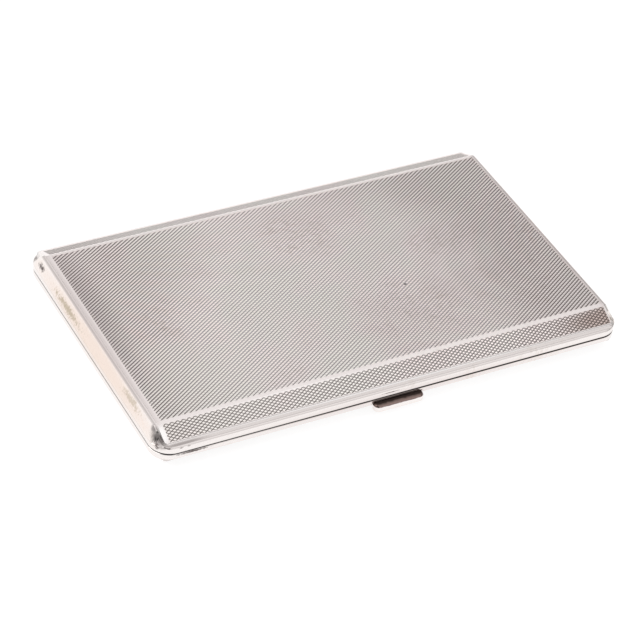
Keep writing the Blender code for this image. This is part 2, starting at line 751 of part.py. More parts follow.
def make_strap(shop, root):
    """The elastic strap, looped and folded back at both ends, and the staple in each loop."""
    leg_end = HALF_LENGTH - RIM_WIDTH - SEAM_GAP - INNER_RIM_SHEET - SEAM_GAP
    bar = leg_end - STAPLE_REACH
    loop_inner = STAPLE_RADIUS + SEAM_GAP
    loop_outer = loop_inner + STRAP_THICKNESS
    tail_end = bar - loop_outer - STRAP_TAIL
    top = loop_outer - STAPLE_DEPTH
    under = loop_inner - STAPLE_DEPTH
    fold = under - STRAP_THICKNESS
    right = arc((bar, -STAPLE_DEPTH), loop_outer, 180.0, 450.0, STRAP_LOOP_STEPS)
    right[0] = (right[0][0], fold)
    half_outline = [(tail_end, under), (tail_end, fold), *right]
    outline = [*half_outline, *[(-x, z) for x, z in reversed(half_outline)]]
    eyes = [arc((side * bar, -STAPLE_DEPTH), loop_inner, 0.0, 340.0, STRAP_LOOP_STEPS - 1) for side in (1, -1)]
    upright = Matrix.Rotation(math.radians(90.0), 4, "X")
    mesh = outline_mesh("elastic_strap", [outline, *eyes], STRAP_WIDTH, upright, (0.0, 0.0, 0.0))
    smooth(mesh, 35.0)
    strap = shop.piece("elastic_strap", mesh, ELASTIC, root)
    strap.location = (0.0, 0.0, BASE_HEIGHT)
    reach_y = STRAP_WIDTH / 2 + STAPLE_SPREAD
    bend = arc((bar + STAPLE_BEND, STAPLE_BEND - reach_y), STAPLE_BEND, 270.0, 180.0, STAPLE_BEND_STEPS)
    route = [(leg_end, -reach_y), *bend, *[(x, -y) for x, y in reversed(bend)], (leg_end, reach_y)]
    for name, side in (("left", -1), ("right", 1)):
        wire = wire_mesh("strap_staple_" + name, [(side * x, y, -STAPLE_DEPTH) for x, y in route], STAPLE_RADIUS)
        smooth(wire, 50.0)
        staple = shop.piece("strap_staple_" + name, wire, GILT, root)
        staple.location = (0.0, 0.0, BASE_HEIGHT)


def main():
    """Build the case, shut."""
    clear_scene()
    shop = Workshop()
    root = shop.empty("case_root", (0.0, 0.0, 0.0))
    lid_axis = shop.empty("lid_hinge_axis", (0.0, HINGE_Y, BASE_HEIGHT))
    thumb_axis = shop.empty("thumb_slide_axis", (0.0, -HALF_WIDTH, BASE_HEIGHT))
    base_frame = make_half(shop, BASE, root)
    make_half(shop, LID, lid_axis)
    make_hinge(shop, root, lid_axis)
    make_thumb_piece(shop, base_frame, thumb_axis)
    make_catch(shop, root, lid_axis)
    make_inner_rims(shop, root)
    make_strap(shop, root)


main()
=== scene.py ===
"""Slim engine-turned cigarette case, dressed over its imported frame.

Metres, +Z up. X runs along the case, Y from the front edge to the hinge, and the shut case rests on z = 0.
"""
import logging
import math
from dataclasses import dataclass, replace
from enum import Enum
from typing import Callable, Iterable, Mapping, Sequence

import bmesh
import bpy
from mathutils import Matrix, Vector


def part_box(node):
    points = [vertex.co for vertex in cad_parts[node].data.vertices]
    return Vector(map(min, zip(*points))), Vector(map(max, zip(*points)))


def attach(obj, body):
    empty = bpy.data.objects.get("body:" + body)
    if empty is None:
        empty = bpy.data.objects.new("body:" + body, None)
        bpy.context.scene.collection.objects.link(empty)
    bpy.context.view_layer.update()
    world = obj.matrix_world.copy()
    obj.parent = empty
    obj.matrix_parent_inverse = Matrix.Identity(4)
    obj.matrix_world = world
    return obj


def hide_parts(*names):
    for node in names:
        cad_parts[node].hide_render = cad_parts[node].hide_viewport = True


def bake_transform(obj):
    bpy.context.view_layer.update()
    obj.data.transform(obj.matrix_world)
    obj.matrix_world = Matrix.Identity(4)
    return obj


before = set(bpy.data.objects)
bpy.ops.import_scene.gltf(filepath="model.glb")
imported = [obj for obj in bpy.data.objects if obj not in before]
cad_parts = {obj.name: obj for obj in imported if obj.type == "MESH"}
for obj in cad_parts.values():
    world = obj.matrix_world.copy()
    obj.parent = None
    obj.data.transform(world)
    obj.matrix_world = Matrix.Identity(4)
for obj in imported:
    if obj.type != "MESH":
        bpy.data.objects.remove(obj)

LOG = logging.getLogger("cigarette_case")
MM = 0.001
ORIGIN = (0.0, 0.0, 0.0)
SIDES = (-1, 1)

Pair = tuple[float, float]
Point = tuple[float, float, float]
Colour = tuple[float, float, float]
Piece = bpy.types.Object
Material = bpy.types.Material
Socket = bpy.types.NodeSocket

HALF_LENGTH = 67.0 * MM
HALF_WIDTH = 42.0 * MM
PARTING_Z = 4.8 * MM
LID_SEAM_RISE = 2.97 * MM
BASE_SEAM_FALL = 2.6 * MM
RIDGE_INSET = 6.7 * MM
SEAM_COVER = 0.12 * MM
CORNER_RADIUS = 5.6 * MM
CORNER_CENTRE = (HALF_LENGTH - CORNER_RADIUS, HALF_WIDTH - CORNER_RADIUS, 0.0)


class Body(Enum):
    """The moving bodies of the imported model."""

    BASE = "base"
    LID = "lid"
    THUMB = "thumb"


class Slot(Enum):
    """The record's material slots."""

    POLISHED = "polished_silver"
    TURNED = "turned_silver"
    GILT = "gilt"
    STEEL = "steel"
    ELASTIC = "elastic"


class Side(Enum):
    """Which way a half of the case faces."""

    UP = 1
    DOWN = -1


# ---------------------------------------------------------------- modelling bench


class Bench:
    """Blender's own edit tools, each used on one selected object at a time."""

    @staticmethod
    def leave() -> None:
        """Go back to object mode with nothing selected."""
        if bpy.context.object and bpy.context.object.mode != "OBJECT":
            bpy.ops.object.mode_set(mode="OBJECT")
        bpy.ops.object.select_all(action="DESELECT")

    @classmethod
    def take(cls, item: Piece) -> None:
        """Select one object alone and make it the active one.

        Args:
            item: the object to work on.
        """
        cls.leave()
        item.select_set(True)
        bpy.context.view_layer.objects.active = item

    @staticmethod
    def named(name: str) -> Piece:
        """Name the primitive that was just added.

        Args:
            name: its piece name.

        Returns:
            The new object.
        """
        made = bpy.context.object
        made.name = name
        made.data.name = name
        return made

    @classmethod
    def edit(cls, item: Piece, mode: str = "VERT", action: str = "DESELECT") -> None:
        """Open an object in edit mode.

        Args:
            item: the object to open.
            mode: VERT, EDGE or FACE.
            action: DESELECT for nothing selected, SELECT for everything.
        """
        cls.take(item)
        bpy.ops.object.mode_set(mode="EDIT")
        bpy.ops.mesh.select_mode(type=mode)
        bpy.ops.mesh.select_all(action=action)

    @staticmethod
    def pick_vertices(item: Piece, test: Callable[[Vector], bool]) -> None:
        """Select the vertices whose place passes a test, and the edges and faces between them.

        Args:
            item: an object in edit mode.
            test: takes a vertex's place.
        """
        bpy.ops.mesh.select_all(action="DESELECT")
        shape = bmesh.from_edit_mesh(item.data)
        for vertex in shape.verts:
            if test(vertex.co):
                vertex.select_set(True)
        shape.select_flush(True)
        bmesh.update_edit_mesh(item.data)

    @staticmethod
    def pick_edges(item: Piece, test: Callable[[Vector, Vector], bool]) -> None:
        """Select the edges whose two ends pass a test.

        Args:
            item: an object in edit mode.
            test: takes the places of an edge's two ends.
        """
        bpy.ops.mesh.select_all(action="DESELECT")
        shape = bmesh.from_edit_mesh(item.data)
        for edge in shape.edges:
            if test(edge.verts[0].co, edge.verts[1].co):
                edge.select_set(True)
        bmesh.update_edit_mesh(item.data)

    @staticmethod
    def cut_across(x: float, side: int = 1, open_end: bool = False) -> None:
        """Cut the open mesh by a plane across its length.

        Args:
            x: where the plane stands.
            side: which way the plane faces.
            open_end: whether what lies behind the plane is taken off and the cut filled.
        """
        bpy.ops.mesh.select_all(action="SELECT")
        bpy.ops.mesh.bisect(
            plane_co=(x, 0.0, 0.0), plane_no=(side, 0.0, 0.0), use_fill=open_end, clear_inner=open_end,
        )

    @classmethod
    def apply(cls, item: Piece) -> None:
        """Apply every modifier in its order.

        Args:
            item: the object whose modifiers are done.
        """
        cls.take(item)
        for modifier in list(item.modifiers):
            bpy.ops.object.modifier_apply(modifier=modifier.name)

    @classmethod
    def soften(cls, item: Piece, width: float, segments: int = 2, degrees: float = 40.0) -> None:
        """Round the edges sharper than an angle.

        Args:
            item: the object to round.
            width: the rounding's width.
            segments: faces across the rounding.
            degrees: the angle.
        """
        step = item.modifiers.new("rounding", "BEVEL")
        step.width = width
        step.segments = segments
        step.limit_method = "ANGLE"
        step.angle_limit = math.radians(degrees)
        step.harden_normals = False
        cls.apply(item)

    @classmethod
    def smooth(cls, item: Piece, degrees: float) -> None:
        """Shade smooth across edges flatter than an angle, with the wide faces kept level.

        Args:
            item: the object to shade.
            degrees: the angle.
        """
        cls.take(item)
        bpy.ops.object.shade_smooth_by_angle(angle=math.radians(degrees))
        step = item.modifiers.new("even_shading", "WEIGHTED_NORMAL")
        step.keep_sharp = True
        bpy.ops.object.modifier_apply(modifier=step.name)


def placed(name: str, data: bpy.types.ID) -> Piece:
    """A new object in the scene.

    Args:
        name: its name.
        data: its mesh, curve, lamp or camera.

    Returns:
        The object, at the origin.
    """
    made = bpy.data.objects.new(name, data)
    bpy.context.scene.collection.objects.link(made)
    return made


def copy_of_node(node: str, name: str, material: Material) -> Piece:
    """A welded copy of a CAD node's mesh, ready to be finished.

    Args:
        node: the CAD node.
        name: the new piece's name.
        material: the new piece's finish.

    Returns:
        The new object, at the origin.
    """
    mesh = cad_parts[node].data.copy()
    mesh.name = name
    made = placed(name, mesh)
    mesh.materials.clear()
    mesh.materials.append(material)
    Bench.edit(made, action="SELECT")
    bpy.ops.mesh.remove_doubles(threshold=0.0005 * MM)
    bpy.ops.mesh.tris_convert_to_quads(face_threshold=math.radians(1.0), shape_threshold=math.radians(40.0))
    Bench.leave()
    return made


def settle(item: Piece, body: Body, nodes: Iterable[str] = ()) -> None:
    """Let a finished piece ride on its body, in place of the nodes that it stands for.

    Args:
        item: the finished piece.
        body: the body that it moves with.
        nodes: the CAD nodes that it replaces.
    """
    Bench.leave()
    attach(item, body.value)
    if nodes:
        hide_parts(*nodes)


# ---------------------------------------------------------------- finishes


@dataclass(frozen=True)
class MetalFinish:
    """A metal as its maker and its age left it."""

    name: str
    colour: Colour
    tarnish: Colour
    roughness: float
    tarnish_amount: float
    scratch_amount: float
    parting_grime: float = 0.0


@dataclass(frozen=True)
class TurnedFinish:
    """An engine-turned field.

    Its metal, and the dark colour in its rows and in the cuts across them, partly oxide and partly painted
    shade.
    How much of a crown's height the ridge between two crowns keeps, and where on a crown's side the dark
    colour begins. How far the duller ends of the field reach in towards the back, and how much wider the dark
    colour is there. Then where it is full in the rows and in the cuts across, how much later it begins in
    these, and by how much both move at the ends. Last, where the ends begin and are full, how uneven they
    are, and the tints of the metal.
    """

    metal: MetalFinish
    oxide_and_shade: Colour
    row_amount: float
    cross_amount: float
    ridge: float
    cut_edge: float
    dull_to_back: float = 0.0
    end_oxide_and_shade: float = 0.2
    foot: Pair = (0.94, 0.96)
    cross_inset: float = 0.03
    widening: Pair = (0.10, 0.16)
    end: Pair = (30.0 * MM, 62.0 * MM)
    uneven: float = 40.0 * MM
    clean_tints: tuple[Colour, Colour] = ((0.96, 0.975, 0.95), (1.0, 0.97, 0.97))
    dull_tint: Colour = (0.82, 0.765, 0.755)
    bloom_dullness: float = 0.25
    end_dullness: float = 0.3


@dataclass(frozen=True)
class RimShading:
    """Where the rim's parting grime and the painted shade in its cove lie; a pair is where each begins and
    where it is full.
    """

    grime_and_shade: Colour = (0.070, 0.050, 0.042)
    line: Pair = (0.38 * MM, 0.18 * MM)
    rounding: Pair = (0.60 * MM, 0.40 * MM)
    end: Pair = (63.5 * MM, 66.6 * MM)
    end_share: float = 0.12
    run: Pair = (-60.0 * MM, 10.0 * MM)
    run_share: float = 0.5
    # painted shade in the cove under the facets
    cove: Colour = (0.36, 0.31, 0.30)
    cove_rise: float = 2.25 * MM
    cove_reach: Pair = (0.75 * MM, 0.35 * MM)
    cove_side: Pair = (39.8 * MM, 41.0 * MM)
    cove_shade_amount: float = 0.42


@dataclass(frozen=True)
class ThumbShade:
    """Painted shade along the top of the thumb-piece, black at the top and brown below it, by their heights.
    """

    top_shade: Colour = (0.045, 0.032, 0.028)
    top_shade_z: Pair = (3.56 * MM, 3.78 * MM)
    under_shade: Colour = (0.20, 0.142, 0.128)
    under_shade_z: Pair = (3.10 * MM, 3.24 * MM)
    ragged: float = 0.35 * MM


@dataclass(frozen=True)
class Webbing:
    """A woven finish: its thread and the shade between its cords."""

    name: str
    thread: Colour
    shade: Colour


@dataclass(frozen=True)
class Spot:
    """A mark at a measured place.

    Its centre and half sizes in millimetres, its strength and colour, and how ragged its edge is.
    """

    centre: Point
    reach: Point
    amount: float
    colour: Colour = (0.50, 0.38, 0.25)
    ragged: float = 2.4


POLISHED = MetalFinish("polished_silver", (0.895, 0.845, 0.825), (0.50, 0.38, 0.25), 0.15, 0.35, 0.5)
RIM = replace(POLISHED, name="rim_silver", parting_grime=0.97)
HINGE = replace(POLISHED, name="hinge_silver")
TURNED_METAL = MetalFinish("turned_silver", (0.875, 0.81, 0.795), (0.50, 0.40, 0.32), 0.18, 0.25, 0.2)
CROWNS = replace(TURNED_METAL, colour=(1.0, 0.94, 0.925))
ROWS = TurnedFinish(CROWNS, (0.10, 0.078, 0.074), 0.93, 0.25, 0.75, 0.57, dull_to_back=0.45, end_oxide_and_shade=1.0)
DIAMONDS = TurnedFinish(CROWNS, (0.09, 0.07, 0.065), 0.97, 0.93, 0.0, 0.55)
GILT = MetalFinish("gilt", (0.86, 0.66, 0.34), (0.55, 0.38, 0.20), 0.24, 0.18, 0.5)
STEEL = MetalFinish("spring_steel", (0.58, 0.58, 0.60), (0.33, 0.27, 0.22), 0.30, 0.3, 0.7)
ELASTIC = Webbing("elastic", (0.66, 0.53, 0.30), (0.30, 0.22, 0.10))
THREAD = Webbing("strap_thread", (0.80, 0.72, 0.52), (0.55, 0.46, 0.30))

BLUSH = (0.81, 0.665, 0.575)
OLIVE = (0.46, 0.39, 0.28)
MAUVE = (0.73, 0.65, 0.635)
DULL = (0.62, 0.55, 0.54)
# painted highlight: lighter silver laid where the surface catches the light
PAINTED_HIGHLIGHT = (1.0, 0.97, 0.96)
RUST = (0.54, 0.42, 0.38)
# dark colour for specks and smears, and for painted shade in the near-left scoop
SOOT_AND_SHADE = (0.13, 0.105, 0.10)
# painted shade for the corners' scoops and the cove; the second colour is the deeper shade
PAINTED_RECESS_SHADE = (0.27, 0.245, 0.24)
PAINTED_DEEP_SHADE = (0.19, 0.17, 0.165)

MARKS = (
    Spot((6.0, -42.0, 4.9), (70.0, 1.0, 2.0), 0.5, MAUVE, 0.4),
    # painted highlight along the lip under the front facets
    Spot((0.0, -41.0, 7.65), (70.0, 0.26, 0.34), 1.0, PAINTED_HIGHLIGHT, 0.2),
    Spot((-66.5, -2.0, 8.0), (3.0, 54.0, 4.6), 0.75, BLUSH, 0.5),
    Spot((66.5, -2.0, 8.0), (3.0, 54.0, 4.6), 0.9, BLUSH, 0.5),
    # painted shade on the near-left end wall by the corner, and in the scoop there
    Spot((-65.2, -38.8, 8.0), (2.2, 4.8, 2.7), 1.0, PAINTED_DEEP_SHADE, 0.4),
    Spot((-65.4, -36.0, 9.4), (1.2, 1.5, 1.3), 0.9, PAINTED_RECESS_SHADE, 0.3),
    *(Spot((64.9 * side, 0.0, 10.1), (0.9, 60.0, 0.8), 0.9, MAUVE, 0.2) for side in SIDES),
    # faint painted shade in the other three corners
    Spot((65.1, -39.1, 7.4), (2.2, 3.0, 1.1), 0.25, PAINTED_RECESS_SHADE, 0.4),
    *(Spot((65.1 * side, 39.1, 7.4), (2.2, 3.0, 1.1), 0.25, PAINTED_RECESS_SHADE, 0.4) for side in SIDES),
    # painted shade in the front cove by the near-left facet's tip, fading to the right
    Spot((-60.0, -41.3, 7.2), (9.0, 1.0, 0.5), 0.8, PAINTED_RECESS_SHADE, 0.4),
    Spot((-2.2, -42.0, 5.95), (3.6, 0.6, 0.18), 1.0, SOOT_AND_SHADE, 1.6),
    Spot((-57.4, -42.0, 4.35), (5.6, 0.7, 0.42), 1.0, SOOT_AND_SHADE, 1.6),
    # painted shade: a dark speck in the near-left corner's scoop
    Spot((-65.9, -39.4, 6.5), (0.7, 0.9, 0.9), 0.9, SOOT_AND_SHADE),
    # a dark line running right from the near-left corner, fading to the right
    Spot((-63.6, -41.4, 6.6), (0.9, 0.6, 0.22), 0.9, SOOT_AND_SHADE),
    Spot((-60.6, -41.8, 6.4), (0.8, 0.6, 0.20), 0.8, SOOT_AND_SHADE),
    Spot((-58.5, -41.8, 6.4), (0.7, 0.6, 0.20), 0.8, SOOT_AND_SHADE),
    Spot((-66.4, 15.5, 7.8), (1.1, 10.0, 1.3), 0.75, OLIVE, 3.2),
    Spot((-66.2, -23.5, 8.8), (1.1, 6.0, 1.4), 0.55, OLIVE, 3.2),
    Spot((-66.4, 33.8, 8.2), (1.0, 2.4, 1.1), 1.0, SOOT_AND_SHADE, 2.0),
    Spot((65.0, -39.2, 8.2), (1.8, 1.0, 0.8), 0.8),
)
FIELD_MARKS = (Spot((19.1, -9.0, 10.1), (0.6, 0.55, 0.6), 0.9, SOOT_AND_SHADE, 1.2),)
FIELD_STAINS = (
    Spot((64.0, -38.6, 8.6), (18.0, 5.5, 4.0), 0.85, RUST, 0.5),
    Spot((-65.0, 12.0, 10.1), (11.0, 44.0, 1.5), 0.6, DULL, 0.6),
)
SHEET_MARKS = (
    # painted highlight at the end of the near-left facet
    Spot((-64.0, -38.4, 8.9), (1.5, 4.2, 2.2), 1.0, PAINTED_HIGHLIGHT, 0.2),
    # painted highlight along the front ridge
    Spot((-30.0, -36.0, 10.1), (46.0, 0.45, 1.2), 0.65, PAINTED_HIGHLIGHT, 0.2),
    *(Spot((64.3 * side, 0.0, 10.2), (1.5, 60.0, 1.0), 0.85, MAUVE, 0.2) for side in SIDES),
)


def in_metres(sizes: Sequence[float]) -> tuple[float, ...]:
    """Sizes that are given in millimetres."""
    return tuple(size * MM for size in sizes)


def tinted(colour: Colour, tint: Colour) -> Colour:
    """A colour with each of its parts scaled by a tint's."""
    return tuple(part * factor for part, factor in zip(colour, tint))


def darker(colour: Colour, share: float) -> Colour:
    """A colour with all its parts scaled alike."""
    return tinted(colour, (share, share, share))


# ---------------------------------------------------------------- materials


class Graph:
    """A node tree being wired: nodes are added by type and wired by socket."""

    def __init__(self, tree: bpy.types.NodeTree) -> None:
        """Start on a material's or a group's tree."""
        self.tree = tree
        self.column = 0

    def node(self, kind: str, **settings: object) -> bpy.types.Node:
        """Add a node.

        Args:
            kind: the node's type.
            settings: attributes to set on it.

        Returns:
            The node.
        """
        made = self.tree.nodes.new(kind)
        made.location = (self.column * 40.0, -(self.column % 7) * 90.0)
        self.column += 1
        for key, value in settings.items():
            setattr(made, key, value)
        return made

    def put(self, target: Socket, value: object) -> None:
        """Wire or set an input.

        Args:
            target: the input.
            value: an output socket, a number, or a tuple.
        """
        if isinstance(value, Socket):
            self.tree.links.new(value, target)
        else:
            target.default_value = value

    def feed(self, node: bpy.types.Node, **inputs: object) -> None:
        """Wire or set several of a node's inputs.

        Args:
            node: the node.
            inputs: values or sockets, by the input's name with _ for a space.
        """
        for key, value in inputs.items():
            self.put(node.inputs[key.replace("_", " ")], value)

    def group(self, tree: bpy.types.NodeTree, **inputs: object) -> Mapping[str, Socket]:
        """Place a shared group.

        Args:
            tree: the group.
            inputs: values or sockets, by the input's name with _ for a space.

        Returns:
            The group's outputs, by name.
        """
        made = self.node("ShaderNodeGroup", node_tree=tree)
        self.feed(made, **inputs)
        return made.outputs

    def math(self, operation: str, *values: object) -> Socket:
        """A Math node on one or two values, or a row of them from the left where there are more.

        Args:
            operation: its operation.
            values: sockets or numbers.

        Returns:
            Its value.
        """
        total, others = values[0], values[1:]
        for second in others or (None,):
            made = self.node("ShaderNodeMath", operation=operation)
            self.put(made.inputs[0], total)
            if second is not None:
                self.put(made.inputs[1], second)
            total = made.outputs["Value"]
        return total

    def plus(self, *values: object) -> Socket:
        """The sum of sockets and numbers."""
        return self.math("ADD", *values)

    def minus(self, first: object, second: object) -> Socket:
        """The first value less the second."""
        return self.math("SUBTRACT", first, second)

    def times(self, *values: object) -> Socket:
        """The product of sockets and numbers."""
        return self.math("MULTIPLY", *values)

    def over(self, first: object, second: object) -> Socket:
        """The first value divided by the second."""
        return self.math("DIVIDE", first, second)

    def most(self, *values: object) -> Socket:
        """The greatest of sockets and numbers."""
        return self.math("MAXIMUM", *values)

    def size(self, value: object) -> Socket:
        """A value without its sign."""
        return self.math("ABSOLUTE", value)

    def vector(self, operation: str, *values: object) -> Socket:
        """A Vector Math node.

        Args:
            operation: its operation.
            values: its one or two inputs.

        Returns:
            Its vector, or its value for a dot product or a length.
        """
        made = self.node("ShaderNodeVectorMath", operation=operation)
        for target, value in zip(made.inputs, values):
            self.put(target, value)
        return made.outputs["Value" if operation in ("DOT_PRODUCT", "LENGTH") else "Vector"]

    def parts(self, place: Socket) -> tuple[Socket, Socket, Socket]:
        """The X, Y and Z of a place.

        Args:
            place: the coordinates.

        Returns:
            Its three parts.
        """
        made = self.node("ShaderNodeSeparateXYZ")
        self.put(made.inputs[0], place)
        return tuple(made.outputs)

    def remap(
        self, value: object, low: float, high: float, to_low: float = 0.0, to_high: float = 1.0,
    ) -> Socket:
        """Stretch a range of values to another, clamped, with soft ends.

        Args:
            value: what is stretched.
            low: start of its range.
            high: end of its range.
            to_low: what the start becomes.
            to_high: what the end becomes.

        Returns:
            The stretched value.
        """
        made = self.node("ShaderNodeMapRange", interpolation_type="SMOOTHSTEP")
        self.feed(made, Value=value, From_Min=low, From_Max=high, To_Min=to_low, To_Max=to_high)
        return made.outputs["Result"]

    def mix(self, factor: object, first: object, second: object) -> Socket:
        """Blend two colours.

        Args:
            factor: how much of the second.
            first: the colour below.
            second: the colour above.

        Returns:
            The blended colour.
        """
        made = self.node("ShaderNodeMix", data_type="RGBA")
        sockets = [item for item in made.inputs if item.type == "RGBA"]
        self.put(made.inputs[0], factor)
        for target, value in zip(sockets, (first, second)):
            self.put(target, (*value, 1.0) if isinstance(value, tuple) else value)
        return next(item for item in made.outputs if item.type == "RGBA")

    def noise(self, place: Socket, scale: float, detail: float = 4.0, roughness: float = 0.6) -> Socket:
        """A noise's grey value.

        Args:
            place: the coordinates.
            scale: cells a metre.
            detail: octaves.
            roughness: how much the fine octaves show.

        Returns:
            The noise, around 0.5.
        """
        made = self.node("ShaderNodeTexNoise")
        self.feed(made, Vector=place, Scale=scale, Detail=detail, Roughness=roughness)
        return made.outputs["Fac"]

    def bump(self, height: Socket, strength: float, distance: float) -> Socket:
        """A Bump node.

        Args:
            height: the relief.
            strength: how much of it shows.
            distance: how high it is where the relief is 1.

        Returns:
            The normal.
        """
        made = self.node("ShaderNodeBump")
        self.feed(made, Height=height, Strength=strength, Distance=distance)
        return made.outputs["Normal"]


class GroupShelf:
    """The shader node groups that the materials share, each built once."""

    def __init__(self) -> None:
        """Build the groups."""
        self.patina = self.make_patina()
        self.scratches = self.make_scratches()
        self.spot = self.make_spot()
        self.diamonds = self.make_diamonds()
        self.weave = self.make_weave()

    @staticmethod
    def new_group(name: str, inputs: dict[str, object], outputs: Sequence[str]) -> tuple:
        """A group with its sockets.

        Args:
            name: the group's name.
            inputs: the default of each input, by its name: a number, or a tuple for a vector.
            outputs: the names of its outputs, which are numbers.

        Returns:
            The group, its Graph, what it is given, by name, and its output node.
        """
        group = bpy.data.node_groups.new(name, "ShaderNodeTree")
        for label, default in inputs.items():
            kind = "NodeSocketVector" if isinstance(default, tuple) else "NodeSocketFloat"
            socket = group.interface.new_socket(name=label, in_out="INPUT", socket_type=kind)
            socket.default_value = default
        for label in outputs:
            group.interface.new_socket(name=label, in_out="OUTPUT", socket_type="NodeSocketFloat")
        graph = Graph(group)
        return group, graph, graph.node("NodeGroupInput").outputs, graph.node("NodeGroupOutput")

    def make_patina(self) -> bpy.types.NodeTree:
        """Cloudy tarnish: broad patches with a finer mottle inside them.

        Returns:
            The group.
        """
        group, graph, given, result = self.new_group(
            "tarnish_clouds", {"Vector": ORIGIN, "Amount": 0.3}, ("Mask", "Cloud"),
        )
        broad = graph.noise(given["Vector"], 55.0, 3.0, 0.5)
        fine = graph.noise(given["Vector"], 620.0, 5.0, 0.65)
        patch = graph.remap(broad, 0.52, 0.72)
        mottle = graph.remap(fine, 0.42, 0.68)
        graph.feed(result, Mask=graph.times(patch, mottle, given["Amount"]), Cloud=broad)
        return group

    def make_scratches(self) -> bpy.types.NodeTree:
        """Hairline scratches in three directions, and the fine bloom of handling between them.

        Returns:
            The group.
        """
        group, graph, given, result = self.new_group(
            "hairline_scratches", {"Vector": ORIGIN, "Amount": 0.5}, ("Mask", "Height"),
        )
        lines = []
        for degrees, along, across in ((17.0, 60.0, 2600.0), (-38.0, 75.0, 3100.0), (71.0, 50.0, 2300.0)):
            laid = graph.node("ShaderNodeMapping", vector_type="POINT")
            turn = (0.0, 0.0, math.radians(degrees))
            graph.feed(laid, Vector=given["Vector"], Scale=(along, across, 900.0), Rotation=turn)
            lines.append(graph.remap(graph.noise(laid.outputs["Vector"], 1.0, 2.0, 0.5), 0.66, 0.74))
        bloom = graph.noise(given["Vector"], 2400.0, 3.0)
        mask = graph.times(graph.most(*lines), given["Amount"])
        graph.feed(result, Mask=mask, Height=graph.minus(graph.times(bloom, 0.25), mask))
        return group

    def make_spot(self) -> bpy.types.NodeTree:
        """One mark, for tarnish as for painted shade and painted highlights: an oval with a ragged edge.

        Returns:
            The group.
        """
        group, graph, given, result = self.new_group(
            "tarnish_and_painted_light_mark",
            {"Vector": ORIGIN, "Centre": ORIGIN, "Reach": (MM, MM, MM), "Amount": 1.0, "Ragged": 2.4},
            ("Mask",),
        )
        offset = graph.vector("SUBTRACT", given["Vector"], given["Centre"])
        share = graph.vector("LENGTH", graph.vector("DIVIDE", offset, given["Reach"]))
        ragged = graph.noise(given["Vector"], 1500.0, 4.0, 0.7)
        edge = graph.plus(share, graph.times(graph.minus(ragged, 0.5), given["Ragged"]))
        graph.feed(result, Mask=graph.times(graph.remap(edge, 1.0, 0.25), given["Amount"]))
        return group

    def make_diamonds(self) -> bpy.types.NodeTree:
        """How deep a place lies in the two families of cuts, from the pitch of the modelled diamonds.

        Returns:
            The group.
        """
        group, graph, given, result = self.new_group(
            "diamond_cuts",
            {"Along": 0.0, "Across": 0.0, "Pitch Along": 0.001567, "Pitch Across": 0.000986},
            ("Rows", "Crossings"),
        )
        along = graph.over(given["Along"], given["Pitch Along"])
        across = graph.over(given["Across"], given["Pitch Across"])
        for operation, label in (("SUBTRACT", "Rows"), ("ADD", "Crossings")):
            share = graph.math("FRACT", graph.math(operation, along, across))
            graph.feed(result, **{label: graph.times(graph.size(graph.minus(share, 0.5)), 2.0)})
        return group

    def make_weave(self) -> bpy.types.NodeTree:
        """Ribbed elastic: lengthwise cords crossed by fine weft threads.

        Returns:
            The group.
        """
        group, graph, given, result = self.new_group(
            "ribbed_weave",
            {"Along": 0.0, "Across": 0.0, "Cord Pitch": 0.5 * MM, "Weft Pitch": 0.3 * MM},
            ("Height", "Shade"),
        )
        cord = graph.over(given["Across"], given["Cord Pitch"])
        weft = graph.over(given["Along"], given["Weft Pitch"])
        cord_wave = graph.size(graph.math("SINE", graph.times(cord, math.pi)))
        offset = graph.times(graph.math("FLOOR", cord), 0.5)
        weft_wave = graph.math("SINE", graph.times(graph.plus(weft, offset), 2.0 * math.pi))
        height = graph.times(cord_wave, graph.plus(0.75, graph.times(weft_wave, 0.25)))
        graph.feed(result, Height=height, Shade=graph.remap(height, 0.05, 0.7))
        return group


